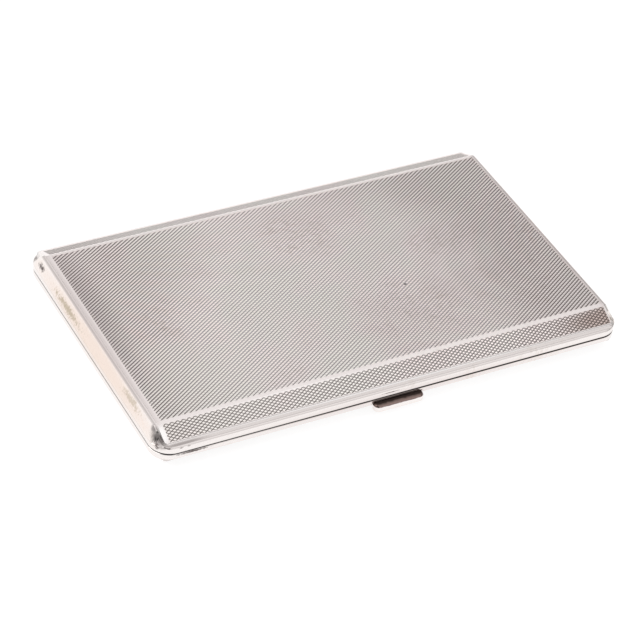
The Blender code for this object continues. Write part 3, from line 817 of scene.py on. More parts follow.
class MaterialBook:
    """The finishes as Principled materials, all from Object coordinates."""

    def __init__(self) -> None:
        """Build the shared groups, then each finish."""
        self.groups = GroupShelf()
        self.polished = self.metal(RIM, MARKS)
        self.hinge = self.metal(HINGE)
        self.plain_turned = self.metal(TURNED_METAL, SHEET_MARKS)
        self.gilt = self.metal(GILT)
        self.steel = self.metal(STEEL)
        self.thumb = self.thumb_silver()

    @staticmethod
    def start(name: str) -> tuple:
        """A new material with its graph, its Principled node and Object coordinates.

        Args:
            name: the material's name.

        Returns:
            The material, its Graph, its Principled node and the coordinates.
        """
        made = bpy.data.materials.new(name)
        made.use_nodes = True
        graph = Graph(made.node_tree)
        shader = made.node_tree.nodes["Principled BSDF"]
        return made, graph, shader, graph.node("ShaderNodeTexCoord").outputs["Object"]

    def marked(
        self, graph: Graph, place: Socket, colour: object, mask: Socket, marks: Sequence[Spot],
    ) -> tuple[object, Socket]:
        """Lay measured marks over a metal's colour.

        Args:
            graph: the material's graph.
            place: Object coordinates.
            colour: the colour so far.
            mask: the tarnish mask so far.
            marks: the marks.

        Returns:
            The colour with the marks, and the mask with the ragged ones.
        """
        for mark in marks:
            spot = graph.group(
                self.groups.spot, Vector=place, Centre=in_metres(mark.centre), Reach=in_metres(mark.reach),
                Amount=mark.amount, Ragged=mark.ragged,
            )["Mask"]
            colour = graph.mix(spot, colour, mark.colour)
            if mark.ragged > 1.0:
                mask = graph.most(mask, spot)
        return colour, mask

    def metal(self, finish: MetalFinish, marks: Sequence[Spot] = ()) -> Material:
        """A worn metal: cloudy tarnish, marks, hairlines and a finish that varies.

        Args:
            finish: the metal.
            marks: measured marks on it.

        Returns:
            The material.
        """
        made, graph, shader, place = self.start(finish.name)
        patina = graph.group(self.groups.patina, Vector=place, Amount=finish.tarnish_amount)
        lines = graph.group(self.groups.scratches, Vector=place, Amount=finish.scratch_amount)
        clouds = graph.remap(patina["Cloud"], 0.35, 0.65)
        tone = graph.mix(clouds, darker(finish.colour, 0.965), finish.colour)
        tarnished = graph.mix(patina["Mask"], tone, finish.tarnish)
        # the marks include painted highlights and painted shade besides tarnish
        colour, mask = self.marked(graph, place, tarnished, patina["Mask"], marks)
        # on the rim: a dark line along the parting, and painted shade in the cove
        if finish.parting_grime:
            colour = self.rim_shading(graph, place, colour, finish.parting_grime)
        haze = graph.plus(finish.roughness, graph.times(lines["Mask"], 0.12))
        clouded = graph.plus(haze, graph.times(mask, 0.28))
        normal = graph.bump(lines["Height"], 0.05, 0.02 * MM)
        graph.feed(shader, Base_Color=colour, Metallic=1.0, Roughness=clouded, Normal=normal)
        return made

    @staticmethod
    def rim_shading(graph: Graph, place: Socket, colour: object, amount: float) -> Socket:
        """Grime along the parting line, faint at the ends, and painted shade in the cove under the facets.

        Args:
            graph: the material's graph.
            place: Object coordinates.
            colour: the rim's colour so far.
            amount: how strong the grime is along the front and back.

        Returns:
            The shaded colour.
        """
        rim = RimShading()
        x, y, z = graph.parts(place)
        off_parting = graph.size(graph.minus(z, PARTING_Z))
        ends = graph.remap(graph.size(x), *rim.end, amount, rim.end_share * amount)
        along = graph.times(ends, graph.remap(x, *rim.run, rim.run_share, 1.0))
        level = graph.vector("MULTIPLY", graph.vector("ABSOLUTE", place), (1.0, 1.0, 0.0))
        beyond = graph.vector("MAXIMUM", graph.vector("SUBTRACT", level, CORNER_CENTRE), ORIGIN)
        out = graph.vector("LENGTH", beyond)
        outside = graph.remap(out, CORNER_RADIUS - rim.rounding[0], CORNER_RADIUS - rim.rounding[1])
        grime_and_shade = graph.times(graph.remap(off_parting, *rim.line), outside, along)
        # painted shade along the cove under the facets
        off_cove = graph.size(graph.minus(off_parting, rim.cove_rise))
        cove_shade_mask = graph.times(graph.remap(off_cove, *rim.cove_reach), rim.cove_shade_amount)
        cove_shaded = graph.mix(graph.times(cove_shade_mask, graph.remap(graph.size(y), *rim.cove_side)), colour, rim.cove)
        return graph.mix(grime_and_shade, cove_shaded, rim.grime_and_shade)

    def turned(self, name: str, finish: TurnedFinish, pitch: Pair, crossing: Pair, lean: float) -> Material:
        """An engine-turned field: bright crowns, and cuts darkened partly by oxide and partly by painted
        shade.

        Args:
            name: the material's name.
            finish: the field's finish.
            pitch: the diamonds' length and width.
            crossing: where two cuts cross, along X and Y.
            lean: the cosine of the field's slope, negative where the field faces down.

        Returns:
            The material.
        """
        made, graph, shader, place = self.start(name)
        x, y, _ = graph.parts(place)
        cuts = graph.group(
            self.groups.diamonds, Along=graph.minus(x, crossing[0]),
            Across=graph.over(graph.minus(y, crossing[1]), lean), Pitch_Along=pitch[0], Pitch_Across=pitch[1],
        )
        patina = graph.group(self.groups.patina, Vector=place, Amount=finish.metal.tarnish_amount)
        bloom = graph.noise(place, 26.0, 2.0, 0.5)
        uneven = graph.times(graph.minus(bloom, 0.5), finish.uneven)
        towards_back = graph.times(graph.most(y, 0.0), finish.dull_to_back)
        ends = graph.remap(graph.plus(graph.size(x), towards_back, uneven), *finish.end)
        heavy = graph.times(ends, finish.end_oxide_and_shade)
        down = (finish.cut_edge, finish.foot[0])
        across = (finish.cut_edge + finish.cross_inset, finish.foot[1])
        rows = self.oxide_and_shade_in_cut(graph, cuts["Rows"], down, finish.widening, heavy)
        crossings = self.oxide_and_shade_in_cut(graph, cuts["Crossings"], across, finish.widening, heavy)
        # dark colour in the cuts: partly oxide, partly painted shade between the diamonds
        oxide_and_shade = graph.most(graph.times(rows, finish.row_amount), graph.times(crossings, finish.cross_amount))
        green, pink = (tinted(finish.metal.colour, tint) for tint in finish.clean_tints)
        clean = graph.mix(graph.remap(patina["Cloud"], 0.38, 0.62), green, pink)
        far = graph.times(ends, finish.end_dullness)
        clouds = graph.remap(bloom, 0.48, 0.68, 0.0, finish.bloom_dullness)
        tone = graph.mix(graph.most(clouds, far), clean, tinted(finish.metal.colour, finish.dull_tint))
        worn = graph.mix(patina["Mask"], tone, finish.metal.tarnish)
        stained_and_shaded, _ = self.marked(graph, place, worn, patina["Mask"], FIELD_STAINS)
        cut = graph.mix(oxide_and_shade, stained_and_shaded, finish.oxide_and_shade)
        colour, _ = self.marked(graph, place, cut, patina["Mask"], FIELD_MARKS)
        rough = graph.plus(finish.metal.roughness, graph.times(oxide_and_shade, 0.3))
        graph.feed(shader, Base_Color=colour, Metallic=1.0, Roughness=rough)
        return made

    @staticmethod
    def oxide_and_shade_in_cut(graph: Graph, height: Socket, reach: Pair, widening: Pair, ends: Socket) -> Socket:
        """Oxide and painted shade in one set of cuts, wider towards the case's ends.

        Args:
            graph: the material's graph.
            height: how far down a crown's side a point lies.
            reach: where the oxide begins and where it is full.
            widening: how far both move up the side at the ends.
            ends: how near the case's end a point lies.

        Returns:
            The mask of the oxide and painted shade.
        """
        narrow = graph.remap(height, *reach)
        wide = graph.remap(height, reach[0] - widening[0], reach[1] - widening[1])
        return graph.plus(narrow, graph.times(ends, graph.minus(wide, narrow)))

    def thumb_silver(self) -> Material:
        """Polished silver with painted shade along the top of the thumb-piece.

        Returns:
            The material.
        """
        thumb_shade = ThumbShade()
        made, graph, shader, place = self.start("thumb_silver")
        patina = graph.group(self.groups.patina, Vector=place, Amount=0.3)
        lines = graph.group(self.groups.scratches, Vector=place, Amount=0.5)
        ragged = graph.minus(graph.noise(place, 900.0), 0.5)
        edge = graph.plus(graph.parts(place)[2], graph.times(ragged, thumb_shade.ragged))
        # painted shade: black along the top of the thumb-piece, brown below it
        grime_and_shade = graph.remap(edge, *thumb_shade.top_shade_z)
        base = graph.mix(patina["Mask"], POLISHED.colour, POLISHED.tarnish)
        stained_and_shaded = graph.mix(graph.remap(edge, *thumb_shade.under_shade_z), base, thumb_shade.under_shade)
        rough = graph.plus(POLISHED.roughness, graph.times(grime_and_shade, 0.25), graph.times(lines["Mask"], 0.1))
        graph.feed(shader, Base_Color=graph.mix(grime_and_shade, stained_and_shaded, thumb_shade.top_shade), Metallic=1.0, Roughness=rough)
        return made

    def elastic(self, finish: Webbing) -> Material:
        """Ribbed elastic webbing.

        Args:
            finish: the thread and the shade between its cords.

        Returns:
            The material.
        """
        made, graph, shader, place = self.start(finish.name)
        x, y, _ = graph.parts(place)
        weave = graph.group(self.groups.weave, Along=x, Across=y, Cord_Pitch=0.5 * MM, Weft_Pitch=0.34 * MM)
        worn = graph.remap(graph.noise(place, 300.0), 0.4, 0.65)
        thread = graph.mix(worn, finish.thread, darker(finish.thread, 0.86))
        graph.feed(
            shader, Base_Color=graph.mix(weave["Shade"], finish.shade, thread), Roughness=0.8,
            Sheen_Weight=0.25, Normal=graph.bump(weave["Height"], 0.6, 0.08 * MM),
        )
        return made


# ---------------------------------------------------------------- the covers


@dataclass
class CoverSizes:
    """The folded sheet of one cover, measured from the case's middle."""

    half_length: float
    seam_y: float
    ridge_y: float
    flat_z: float
    foot_z: float
    sheet: float = 0.5 * MM
    panel_margin: float = 0.55 * MM
    facet_top_margin: float = 0.65 * MM
    facet_foot_margin: float = 0.10 * MM
    field_length: float = 127.2 * MM
    field_middle: float = 0.5 * MM
    wall: float = 0.04 * MM
    recess: float = 0.10 * MM
    relief: float = 0.10 * MM
    clearance: float = 0.004 * MM
    spread: float = 0.11 * MM
    corner_bevel: float = 0.25 * MM
    ridge_bevel: float = 0.22 * MM
    columns: int = 162
    panel_rows: int = 140
    facet_rows: int = 11

    @property
    def slope(self) -> float:
        """Fall of the bevel for each unit that it runs out."""
        return (self.flat_z - self.foot_z) / (self.seam_y - self.ridge_y)

    @property
    def lean(self) -> float:
        """Cosine of the bevel's angle."""
        return 1.0 / math.hypot(1.0, self.slope)

    @property
    def half_panel(self) -> float:
        """Half of the panel's width between its borders."""
        return self.ridge_y - self.panel_margin

    @property
    def field_run(self) -> float:
        """How far a bevel's field runs out."""
        return self.seam_y - self.ridge_y - self.facet_top_margin - self.facet_foot_margin

    @property
    def facet_inner(self) -> float:
        """Where a bevel's field begins."""
        return self.ridge_y + self.facet_top_margin


@dataclass
class Cover:
    """One cover, in place of a CAD sheet: the folded plate with its plain borders, and its three
    engine-turned fields. Its sizes' heights are signed."""

    half: Side
    body: Body
    node: str
    sizes: CoverSizes
    book: MaterialBook

    def build(self) -> list[Piece]:
        """Model and dress the plate and the fields.

        Returns:
            The pieces.
        """
        s = self.sizes
        plate = self.plate()
        level = s.flat_z - self.half.value * s.recess
        fields = [self.field("panel", (0.0, level), s.half_panel * 2.0, 0, s.panel_rows)]
        for label, side in (("front", -1), ("back", 1)):
            fields.append(self.facet(label, side))
        settle(plate, self.body, [self.node])
        for piece in fields:
            settle(piece, self.body)
        return [plate, *fields]

    def plate(self) -> Piece:
        """The folded sheet, extruded outwards from the panel, with its three fields sunk into it.

        Returns:
            The plate.
        """
        s = self.sizes
        near = 0.01 * MM
        Bench.leave()
        bpy.ops.mesh.primitive_plane_add(size=1.0)
        made = Bench.named(f"{self.body.value}_cover_plate")
        Bench.edit(made, action="SELECT")
        bpy.ops.transform.resize(value=(2.0 * (s.half_length + s.spread), 2.0 * s.half_panel, 1.0))
        bpy.ops.transform.translate(value=(0.0, 0.0, s.flat_z))
        bpy.ops.mesh.select_mode(type="EDGE")
        folds = (
            (s.panel_margin, 0.0), (s.facet_top_margin, -s.slope), (s.field_run, -s.slope),
            (s.facet_foot_margin + s.spread, -s.slope),
        )
        for side in SIDES:
            Bench.pick_edges(made, lambda a, b: min(side * a.y, side * b.y) > s.half_panel - near)
            for run, slope in folds:
                step = {"value": (0.0, side * run, slope * run)}
                bpy.ops.mesh.extrude_region_move(TRANSFORM_OT_translate=step)
        for side in SIDES:
            Bench.cut_across(s.field_middle + side * s.field_length / 2.0)
        Bench.edit(made)
        reach = s.seam_y + s.spread - near
        Bench.pick_vertices(made, lambda p: abs(p.y) > reach and abs(p.x) > s.half_length)
        bpy.ops.mesh.bevel(offset=s.corner_bevel, segments=3, affect="VERTICES")
        bpy.ops.mesh.select_mode(type="EDGE")
        Bench.pick_edges(made, lambda a, b: all(abs(abs(p.y) - s.ridge_y) < near / 2.0 for p in (a, b)))
        bpy.ops.mesh.bevel(offset=s.ridge_bevel, segments=4, affect="EDGES")
        bpy.ops.mesh.select_all(action="SELECT")
        bpy.ops.mesh.normals_make_consistent(inside=False)
        Bench.leave()
        facing = sum(face.normal.z * face.area for face in made.data.polygons)
        if facing * self.half.value < 0:
            made.data.flip_normals()
        sheet = made.modifiers.new("sheet", "SOLIDIFY")
        sheet.thickness = s.sheet
        sheet.offset = -1.0
        sheet.material_offset = 1
        sheet.material_offset_rim = 0
        made.data.materials.append(self.book.plain_turned)
        made.data.materials.append(self.book.gilt)
        Bench.apply(made)
        self.sink_fields(made)
        Bench.smooth(made, 30.0)
        return made

    def sink_fields(self, made: Piece) -> None:
        """Sink the panel and the two bevels a little below their borders, where the diamonds lie.

        Args:
            made: the folded sheet.
        """
        s = self.sizes
        bands = ((-1.0, s.half_panel), (s.facet_inner, s.facet_inner + s.field_run))
        slack = 0.02 * MM
        Bench.edit(made, "FACE")
        shape = bmesh.from_edit_mesh(made.data)
        for face in shape.faces:
            middle = face.calc_center_median()
            inside = abs(middle.x - s.field_middle) < s.field_length / 2.0
            banded = any(low - slack < abs(middle.y) < high + slack for low, high in bands)
            face.select_set(face.normal.z * self.half.value > 0.5 and inside and banded)
        bmesh.update_edit_mesh(made.data)
        bpy.ops.mesh.inset(thickness=s.wall, depth=-s.recess)
        Bench.leave()

    def field(self, label: str, middle: Pair, width: float, side: int, rows: int) -> Piece:
        """A field of raised diamonds: a grid whose every second vertex is a crown.

        Args:
            label: which field.
            middle: its middle line along Y, and its height above or below the plain recess there.
            width: its width along its own surface.
            side: 0 for the flat panel, -1 or 1 for a bevel.
            rows: grid rows across.

        Returns:
            The field, in its place.
        """
        s = self.sizes
        up = self.half.value
        columns = s.columns
        finish = DIAMONDS if side else ROWS
        Bench.leave()
        bpy.ops.mesh.primitive_grid_add(x_subdivisions=columns, y_subdivisions=rows, size=1.0)
        made = Bench.named(f"{self.body.value}_{label}_diamonds")
        step_x, step_y = 1.0 / columns, 1.0 / rows

        def place_of(point: Vector) -> tuple[int, int]:
            """The column and row of a grid vertex."""
            return round((point.x + 0.5) / step_x), round((point.y + 0.5) / step_y)

        def is_crossing(point: Vector) -> bool:
            """Whether two cuts cross at a vertex."""
            return sum(place_of(point)) % 2 == 0

        def is_crown(point: Vector) -> bool:
            """Whether a vertex is a crown: between the crossings, and inside the field's edge."""
            column, row = place_of(point)
            return (column + row) % 2 == 1 and 0 < column < columns and 0 < row < rows

        def is_between_crowns(a: Vector, b: Vector) -> bool:
            """Whether an edge crosses a row from crown to crown."""
            return (b.x - a.x) * (b.y - a.y) < -0.1 * step_x * step_y

        def is_midpoint(point: Vector) -> bool:
            """Whether a vertex lies halfway between two columns."""
            share = (point.x + 0.5) / step_x
            return abs(share - round(share)) > 0.25

        Bench.edit(made)
        Bench.pick_vertices(made, is_crossing)
        bpy.ops.mesh.vert_connect()
        Bench.pick_vertices(made, is_crown)
        bpy.ops.transform.translate(value=(0.0, 0.0, s.relief))
        if finish.ridge:
            bpy.ops.mesh.select_mode(type="EDGE")
            Bench.pick_edges(made, is_between_crowns)
            bpy.ops.mesh.subdivide(number_cuts=1)
            bpy.ops.mesh.select_mode(type="VERT")
            Bench.pick_vertices(made, is_midpoint)
            bpy.ops.transform.translate(value=(0.0, 0.0, s.relief * finish.ridge))
        bpy.ops.mesh.select_all(action="SELECT")
        bpy.ops.transform.resize(value=(s.field_length, width, 1.0), center_override=ORIGIN)
        lean = math.atan(s.slope) if side else 0.0
        angle = (math.pi if up < 0 else 0.0) - side * lean
        if angle:
            bpy.ops.transform.rotate(value=-angle, orient_axis="X", center_override=ORIGIN)
        lift = up * s.clearance
        bpy.ops.transform.translate(value=(s.field_middle, middle[0], middle[1] + lift))
        Bench.leave()
        run = up * math.cos(lean)
        pitch = (s.field_length / columns * 2.0, width / rows * 2.0)
        half = rows // 2
        crossing_row = half + (columns // 2 + half) % 2
        crossing = (s.field_middle, middle[0] + (crossing_row - rows / 2) * width / rows * run)
        made.data.materials.append(self.book.turned(made.name, finish, pitch, crossing, run))
        return made

    def facet(self, label: str, side: int) -> Piece:
        """The field on a bevel.

        Args:
            label: front or back.
            side: -1 for the front, 1 for the back.

        Returns:
            The field.
        """
        s = self.sizes
        outer = s.seam_y - s.facet_foot_margin
        middle_y = (s.facet_inner + outer) / 2.0
        height = s.flat_z - s.slope * (middle_y - s.ridge_y) - self.half.value * s.recess
        width = (outer - s.facet_inner) / s.lean
        return self.field(f"{label}_facet", (side * middle_y, height), width, side, s.facet_rows)


# ---------------------------------------------------------------- the metal pieces


@dataclass
class Refined:
    """A CAD piece carried over as a welded copy with its edges softened and its curves shaded smooth."""

    node: str
    body: Body
    slot: Slot
    material: Material
    softening: float = 0.05 * MM
    bevel_degrees: float = 40.0
    smooth_degrees: float = 35.0
    segments: int = 2

    def build(self) -> Piece:
        """Copy, soften and dress the piece.

        Returns:
            The piece.
        """
        made = copy_of_node(self.node, f"{self.node}_finished", self.material)
        if self.softening:
            Bench.soften(made, self.softening, self.segments, self.bevel_degrees)
        Bench.smooth(made, self.smooth_degrees)
        settle(made, self.body, [self.node])
        return made


@dataclass
class CatchSpring:
    """The flat spring behind the thumb-piece, in two halves, each cut across the stretch where it bends."""

    book: MaterialBook
    held: float = 11.0 * MM
    pushed: float = 4.2 * MM
    bends: int = 8
    softening: float = 0.04 * MM

    def build(self) -> list[Piece]:
        """Build the left half and the right half."""
        return [self.half(label, side) for label, side in (("left", -1), ("right", 1))]

    def half(self, label: str, side: int) -> Piece:
        """One half, from the middle of the hook to its block, divided where it bends.

        Args:
            label: which half, for the piece's name.
            side: -1 for the left half, 1 for the right half.

        Returns:
            The half.
        """
        made = copy_of_node("catch_spring", f"catch_spring_{label}_half", self.book.steel)
        Bench.soften(made, self.softening)
        Bench.edit(made)
        Bench.cut_across(0.0, side, open_end=True)
        for step in range(self.bends + 1):
            Bench.cut_across(side * (self.pushed + (self.held - self.pushed) * step / self.bends))
        Bench.smooth(made, 35.0)
        Bench.leave()
        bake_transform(made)
        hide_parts("catch_spring")
        return made


def refined_pieces(book: MaterialBook) -> list[Refined]:
    """Every CAD piece that is carried over with a finer surface.

    Args:
        book: the finishes.

    Returns:
        The pieces to build.
    """
    rows = [
        ("lid_frame", Body.LID, Slot.POLISHED, book.polished, 0.04 * MM, 50.0, 28.0),
        ("base_frame", Body.BASE, Slot.POLISHED, book.polished, 0.04 * MM, 50.0, 28.0),
        ("thumb_piece", Body.THUMB, Slot.POLISHED, book.thumb, 0.12 * MM, 50.0, 40.0, 3),
        ("hinge_pin", Body.BASE, Slot.STEEL, book.steel, 0.03 * MM),
        ("hinge_plug_{}", Body.BASE, Slot.POLISHED, book.hinge, 0.03 * MM),
        ("catch_block_{}", Body.BASE, Slot.GILT, book.gilt, 0.08 * MM),
        ("catch_rivet_{}", Body.BASE, Slot.STEEL, book.steel, 0.02 * MM),
        ("lid_strike", Body.LID, Slot.GILT, book.gilt, 0.08 * MM),
        ("inner_rim_{}", Body.BASE, Slot.GILT, book.gilt, 0.08 * MM),
        ("strap_staple_{}", Body.BASE, Slot.GILT, book.gilt, 0.0, 40.0, 50.0),
    ]
    for index in range(1, 10):
        owner = Body.LID if index % 2 == 0 else Body.BASE
        rows.append((f"{owner.value}_knuckle_{index}", owner, Slot.POLISHED, book.hinge, 0.03 * MM, 50.0))
    made = []
    for pattern, *settings in rows:
        names = [pattern.format(side) for side in ("left", "right")] if "{}" in pattern else [pattern]
        made += [Refined(name, *settings) for name in names]
    return made


# ---------------------------------------------------------------- the strap


@dataclass
class Strap:
    """The woven elastic: one ribbed band round both staples, its tails folded back under it and sewn."""

    book: MaterialBook
    width: float = 8.0 * MM
    thickness: float = 0.55 * MM
    bar_x: float = 63.0 * MM
    bar_z: float = 4.4 * MM
    loop: float = 0.825 * MM
    loop_degrees: float = 240.0
    loop_steps: int = 16
    fold: tuple[Pair, ...] = ((0.93, 0.0), (1.05, 0.10), (1.22, 0.20), (1.45, 0.262))
    fold_end: float = 1.7 * MM
    tail: float = 5.5 * MM
    run: tuple[float, ...] = (45.0, 15.0, -15.0, -45.0)
    cords: int = 16
    rib: float = 0.07 * MM
    stitch: Point = (0.42 * MM, 0.10 * MM, 0.07 * MM)
    stitch_rows: Pair = (58.6 * MM, 59.9 * MM)
    stitch_pitch: float = 0.8 * MM
    stitch_count: int = 9

    def build(self) -> list[Piece]:
        """Model the band and its stitches.

        Returns:
            The pieces.
        """
        made = [self.band(), self.stitches()]
        settle(made[0], Body.BASE, ["elastic_strap"])
        settle(made[1], Body.BASE)
        return made

    @property
    def top_z(self) -> float:
        """Height of the band's own middle along its long run."""
        return self.bar_z + self.loop

    def half_route(self) -> list[Pair]:
        """The band's middle line at the right: its top run's end, the loop, and the tail under it.

        Returns:
            The (x, z) points, from the top run to the tail's end.
        """
        points = []
        for step in range(self.loop_steps + 1):
            turn = math.radians(90.0 - self.loop_degrees * step / self.loop_steps)
            points.append((self.bar_x + self.loop * math.cos(turn), self.bar_z + self.loop * math.sin(turn)))
        points += [(self.bar_x - back * MM, self.bar_z + rise * MM) for back, rise in self.fold]
        under = self.top_z - self.thickness
        return points + [(self.bar_x - self.fold_end, under), (self.bar_x - self.loop - self.tail, under)]

    def band(self) -> Piece:
        """The band: its ribbed section carried along its route.

        Returns:
            The band as a mesh.
        """
        half = self.half_route()
        route = half[::-1] + [(x * MM, self.top_z) for x in self.run] + [(-x, z) for x, z in half]
        count = 2 * self.cords
        face = []
        for step in range(count + 1):
            height = self.thickness / 2.0 - (0.0 if step % 2 else self.rib)
            face.append((self.width * (step / count - 0.5), height))
        outline = face + [(y, -z) for y, z in face[::-1]]
        section = self.curve("band_section", [(y, z, 0.0) for y, z in outline], True)
        section.data.dimensions = "2D"
        made = self.curve("elastic_band", [(x, 0.0, z) for x, z in route], False)
        made.data.bevel_mode = "OBJECT"
        made.data.bevel_object = section
        made.data.use_fill_caps = True
        Bench.take(made)
        bpy.ops.object.convert(target="MESH")
        made = bpy.context.object
        bpy.data.objects.remove(section, do_unlink=True)
        Bench.edit(made, action="SELECT")
        bpy.ops.mesh.remove_doubles(threshold=0.001 * MM)
        bpy.ops.mesh.normals_make_consistent(inside=False)
        Bench.leave()
        made.data.materials.clear()
        made.data.materials.append(self.book.elastic(ELASTIC))
        Bench.smooth(made, 50.0)
        return made

    @staticmethod
    def curve(name: str, points: Sequence[Point], closed: bool) -> Piece:
        """A curve through points.

        Args:
            name: its name.
            points: its points.
            closed: whether it is a ring.

        Returns:
            The curve.
        """
        data = bpy.data.curves.new(name, "CURVE")
        data.dimensions = "3D"
        spline = data.splines.new("POLY")
        spline.points.add(len(points) - 1)
        for point, place in zip(spline.points, points):
            point.co = (*place, 1.0)
        spline.use_cyclic_u = closed
        return placed(name, data)

    def stitches(self) -> Piece:
        """Two rows of stitches through both layers of each tail, seen above and below.

        Returns:
            All the stitches as one mesh.
        """
        Bench.leave()
        bpy.ops.mesh.primitive_uv_sphere_add(segments=8, ring_count=6, radius=1.0)
        made = Bench.named("strap_stitches")
        Bench.edit(made, action="SELECT")
        bpy.ops.mesh.delete(type="VERT")
        levels = (self.top_z + self.thickness / 2.0, self.top_z - 1.5 * self.thickness)
        places = [(side * row_x, level) for row_x in self.stitch_rows for side in SIDES for level in levels]
        for x, z in places:
            for step in range(self.stitch_count):
                centre = (x, (step - self.stitch_count // 2) * self.stitch_pitch, z)
                bpy.ops.mesh.select_all(action="DESELECT")
                bpy.ops.mesh.primitive_uv_sphere_add(segments=8, ring_count=6, radius=1.0, location=centre)
                bpy.ops.transform.resize(value=self.stitch, center_override=centre)
        Bench.leave()
        for face in made.data.polygons:
            face.use_smooth = True
        made.data.materials.append(self.book.elastic(THREAD))
        return made


# ---------------------------------------------------------------- the studio


@dataclass(frozen=True)
class StudioCamera:
    """The photograph's camera: its direction, distance and framing."""

    azimuth: float = -30.886
    elevation: float = 38.578
    roll: float = 6.216
    distance: float = 0.713927
    focal_pixels: float = 2704.203
    shift: Pair = (3.444, -23.834)
    picture: float = 640.0
    sensor: float = 36.0

    def build(self) -> None:
        """Stand the camera where the photograph was taken from."""
        azimuth, elevation = math.radians(self.azimuth), math.radians(self.elevation)
        roll = math.radians(self.roll)
        level = math.cos(elevation)
        back = Vector((math.sin(azimuth) * level, -math.cos(azimuth) * level, math.sin(elevation)))
        right = (-back).cross(Vector((0.0, 0.0, 1.0))).normalized()
        up = right.cross(-back)
        across = right * math.cos(roll) + up * math.sin(roll)
        upward = up * math.cos(roll) - right * math.sin(roll)
        data = bpy.data.cameras.new("photo_camera")
        data.sensor_width = self.sensor
        data.lens = self.focal_pixels / self.picture * self.sensor
        data.shift_x = -self.shift[0] / self.picture
        data.shift_y = self.shift[1] / self.picture
        data.clip_start = 0.01
        made = placed("photo_camera", data)
        place = Matrix((across, upward, back)).transposed().to_4x4()
        place.translation = back * self.distance + Vector((0.0, 0.0, PARTING_Z))
        made.matrix_world = place
        bpy.context.scene.camera = made


@dataclass(frozen=True)
class Lamp:
    """A large soft lamp that looks at the case: where it stands, its square face's side and its watts."""

    name: str
    place: Point
    side: float
    watts: float

    def build(self) -> None:
        """Hang the lamp and turn it to the case."""
        data = bpy.data.lights.new(self.name, "AREA")
        data.size = self.side
        data.energy = self.watts
        made = placed(self.name, data)
        made.location = self.place
        made.rotation_euler = (-Vector(self.place)).to_track_quat("-Z", "Y").to_euler()


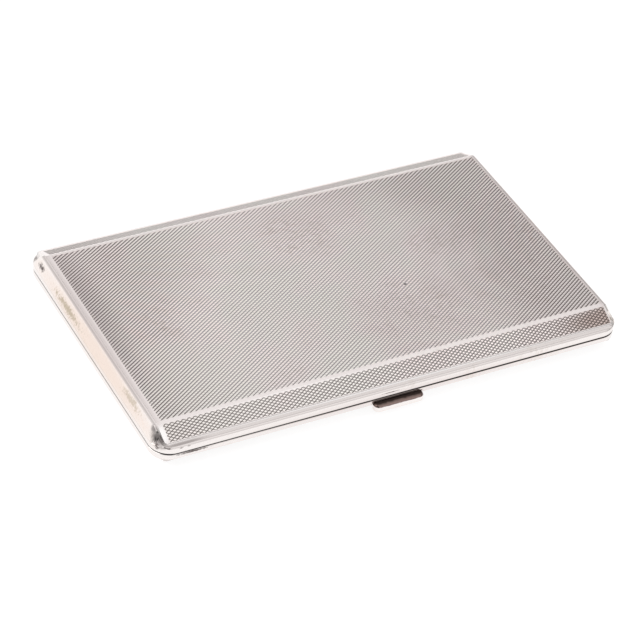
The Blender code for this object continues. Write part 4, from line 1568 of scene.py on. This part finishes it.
@dataclass
class Studio:
    """A plain pale table under soft light.

    The metal mirrors a surround of soft edges. A way is a direction in it, an edge the range over which
    its light changes, and a level the light beyond that edge.
    """

    lamps: tuple[Lamp, ...] = (
        Lamp("key", (-1.1, 0.2, 1.2), 1.5, 7.0), Lamp("fill", (0.6, -1.2, 1.1), 1.2, 1.5),
    )
    floor_size: float = 6.0
    floor_drop: float = 0.02 * MM
    floor_colour: Colour = (0.30, 0.30, 0.30)
    floor_glow: float = 0.81
    world_strength: float = 0.72
    room: float = 0.38
    overhead_way: Point = (0.20, 0.0, 0.98)
    overhead_edge: Pair = (0.0, 0.86)
    right_edge: Pair = (0.43, 0.66)
    right_level: float = 0.56
    middle_edge: Pair = (-0.15, 0.12)
    middle_level: float = 0.74
    horizon: Pair = (0.16, 0.50)
    camera_way: Point = (-0.40, -0.67, 0.62)
    camera_edge: Pair = (0.86, 0.96)
    left_way: Point = (-0.61, 0.67, 0.40)
    left_edge: Pair = (0.78, 0.95)
    left_level: float = 0.85

    def build(self) -> None:
        """Make the floor, the sky and the lamps."""
        self.floor()
        self.sky()
        for lamp in self.lamps:
            lamp.build()

    def floor(self) -> None:
        """The table's top, a little below what rests on it."""
        Bench.leave()
        bpy.ops.mesh.primitive_plane_add(size=self.floor_size, location=(0.0, 0.0, -self.floor_drop))
        made = Bench.named("table_top")
        material, graph, shader, place = MaterialBook.start("table_top")
        speck = graph.noise(place, 40.0, 3.0, 0.5)
        tone = graph.mix(speck, darker(self.floor_colour, 0.995), self.floor_colour)
        graph.feed(shader, Base_Color=tone, Roughness=0.9)
        path = graph.node("ShaderNodeLightPath").outputs
        shown = graph.most(path["Is Camera Ray"], path["Is Glossy Ray"], path["Is Transmission Ray"])
        glow = graph.node("ShaderNodeEmission")
        graph.feed(glow, Strength=graph.times(shown, self.floor_glow))
        both = graph.node("ShaderNodeAddShader")
        graph.put(both.inputs[0], shader.outputs[0])
        graph.put(both.inputs[1], glow.outputs[0])
        graph.feed(material.node_tree.nodes["Material Output"], Surface=both.outputs[0])
        made.data.materials.append(material)

    def sky(self) -> None:
        """A white surround for the camera and the metal, and an even light for the rest."""
        world = bpy.data.worlds.new("studio")
        bpy.context.scene.world = world
        world.use_nodes = True
        world.node_tree.nodes.clear()
        graph = Graph(world.node_tree)
        path = graph.node("ShaderNodeLightPath").outputs
        mirrored = graph.most(path["Is Glossy Ray"], path["Is Transmission Ray"])
        way = graph.node("ShaderNodeTexCoord").outputs["Generated"]
        overhead, camera, left = (
            graph.vector("DOT_PRODUCT", way, tuple(Vector(towards).normalized()))
            for towards in (self.overhead_way, self.camera_way, self.left_way)
        )
        x, _, z = graph.parts(way)
        softbox = graph.remap(overhead, *self.overhead_edge, self.room, 1.0)
        falloff = graph.remap(x, *self.right_edge, 1.0, self.right_level)
        middle = graph.remap(x, *self.middle_edge, self.middle_level, 1.0)
        shade = graph.remap(camera, *self.camera_edge, 1.0, self.room)
        lit = graph.times(softbox, graph.times(falloff, middle), shade)
        card = graph.remap(left, *self.left_edge, 0.0, self.left_level)
        low = graph.remap(z, *self.horizon, 1.0, 0.0)
        seen = graph.most(lit, card, low)
        even = graph.times(graph.minus(1.0, mirrored), self.world_strength)
        level = graph.plus(graph.times(mirrored, seen), even)
        sky = graph.node("ShaderNodeBackground")
        graph.feed(sky, Color=(1.0, 1.0, 1.0, 1.0), Strength=graph.most(path["Is Camera Ray"], level))
        graph.feed(graph.node("ShaderNodeOutputWorld"), Surface=sky.outputs[0])


# ---------------------------------------------------------------- the case


def covers(book: MaterialBook) -> list[Cover]:
    """The two covers, sized from the CAD sheets.

    Args:
        book: the finishes.

    Returns:
        The lid's cover and the base's.
    """
    made = []
    for half, body, node in ((Side.UP, Body.LID, "lid_cover"), (Side.DOWN, Body.BASE, "base_cover")):
        low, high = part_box(node)
        foot = PARTING_Z + LID_SEAM_RISE if half is Side.UP else PARTING_Z - BASE_SEAM_FALL
        flat = high.z if half is Side.UP else low.z
        sizes = CoverSizes(high.x + SEAM_COVER, high.y, HALF_WIDTH - RIDGE_INSET, flat, foot)
        made.append(Cover(half, body, node, sizes, book))
    return made


def main() -> None:
    """Light the case and stand the camera, then build, dress and report its pieces."""
    logging.basicConfig(level=logging.INFO, format="%(name)s: %(message)s")
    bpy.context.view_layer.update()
    StudioCamera().build()
    Studio().build()
    book = MaterialBook()
    pieces = [piece for cover in covers(book) for piece in cover.build()]
    pieces += [part.build() for part in refined_pieces(book)]
    pieces += CatchSpring(book).build() + Strap(book).build()
    for piece in pieces:
        LOG.info("%s: %d faces", piece.name, len(piece.data.polygons))
    bpy.context.scene.view_settings.view_transform = "Standard"


if __name__ == "__main__":
    main()
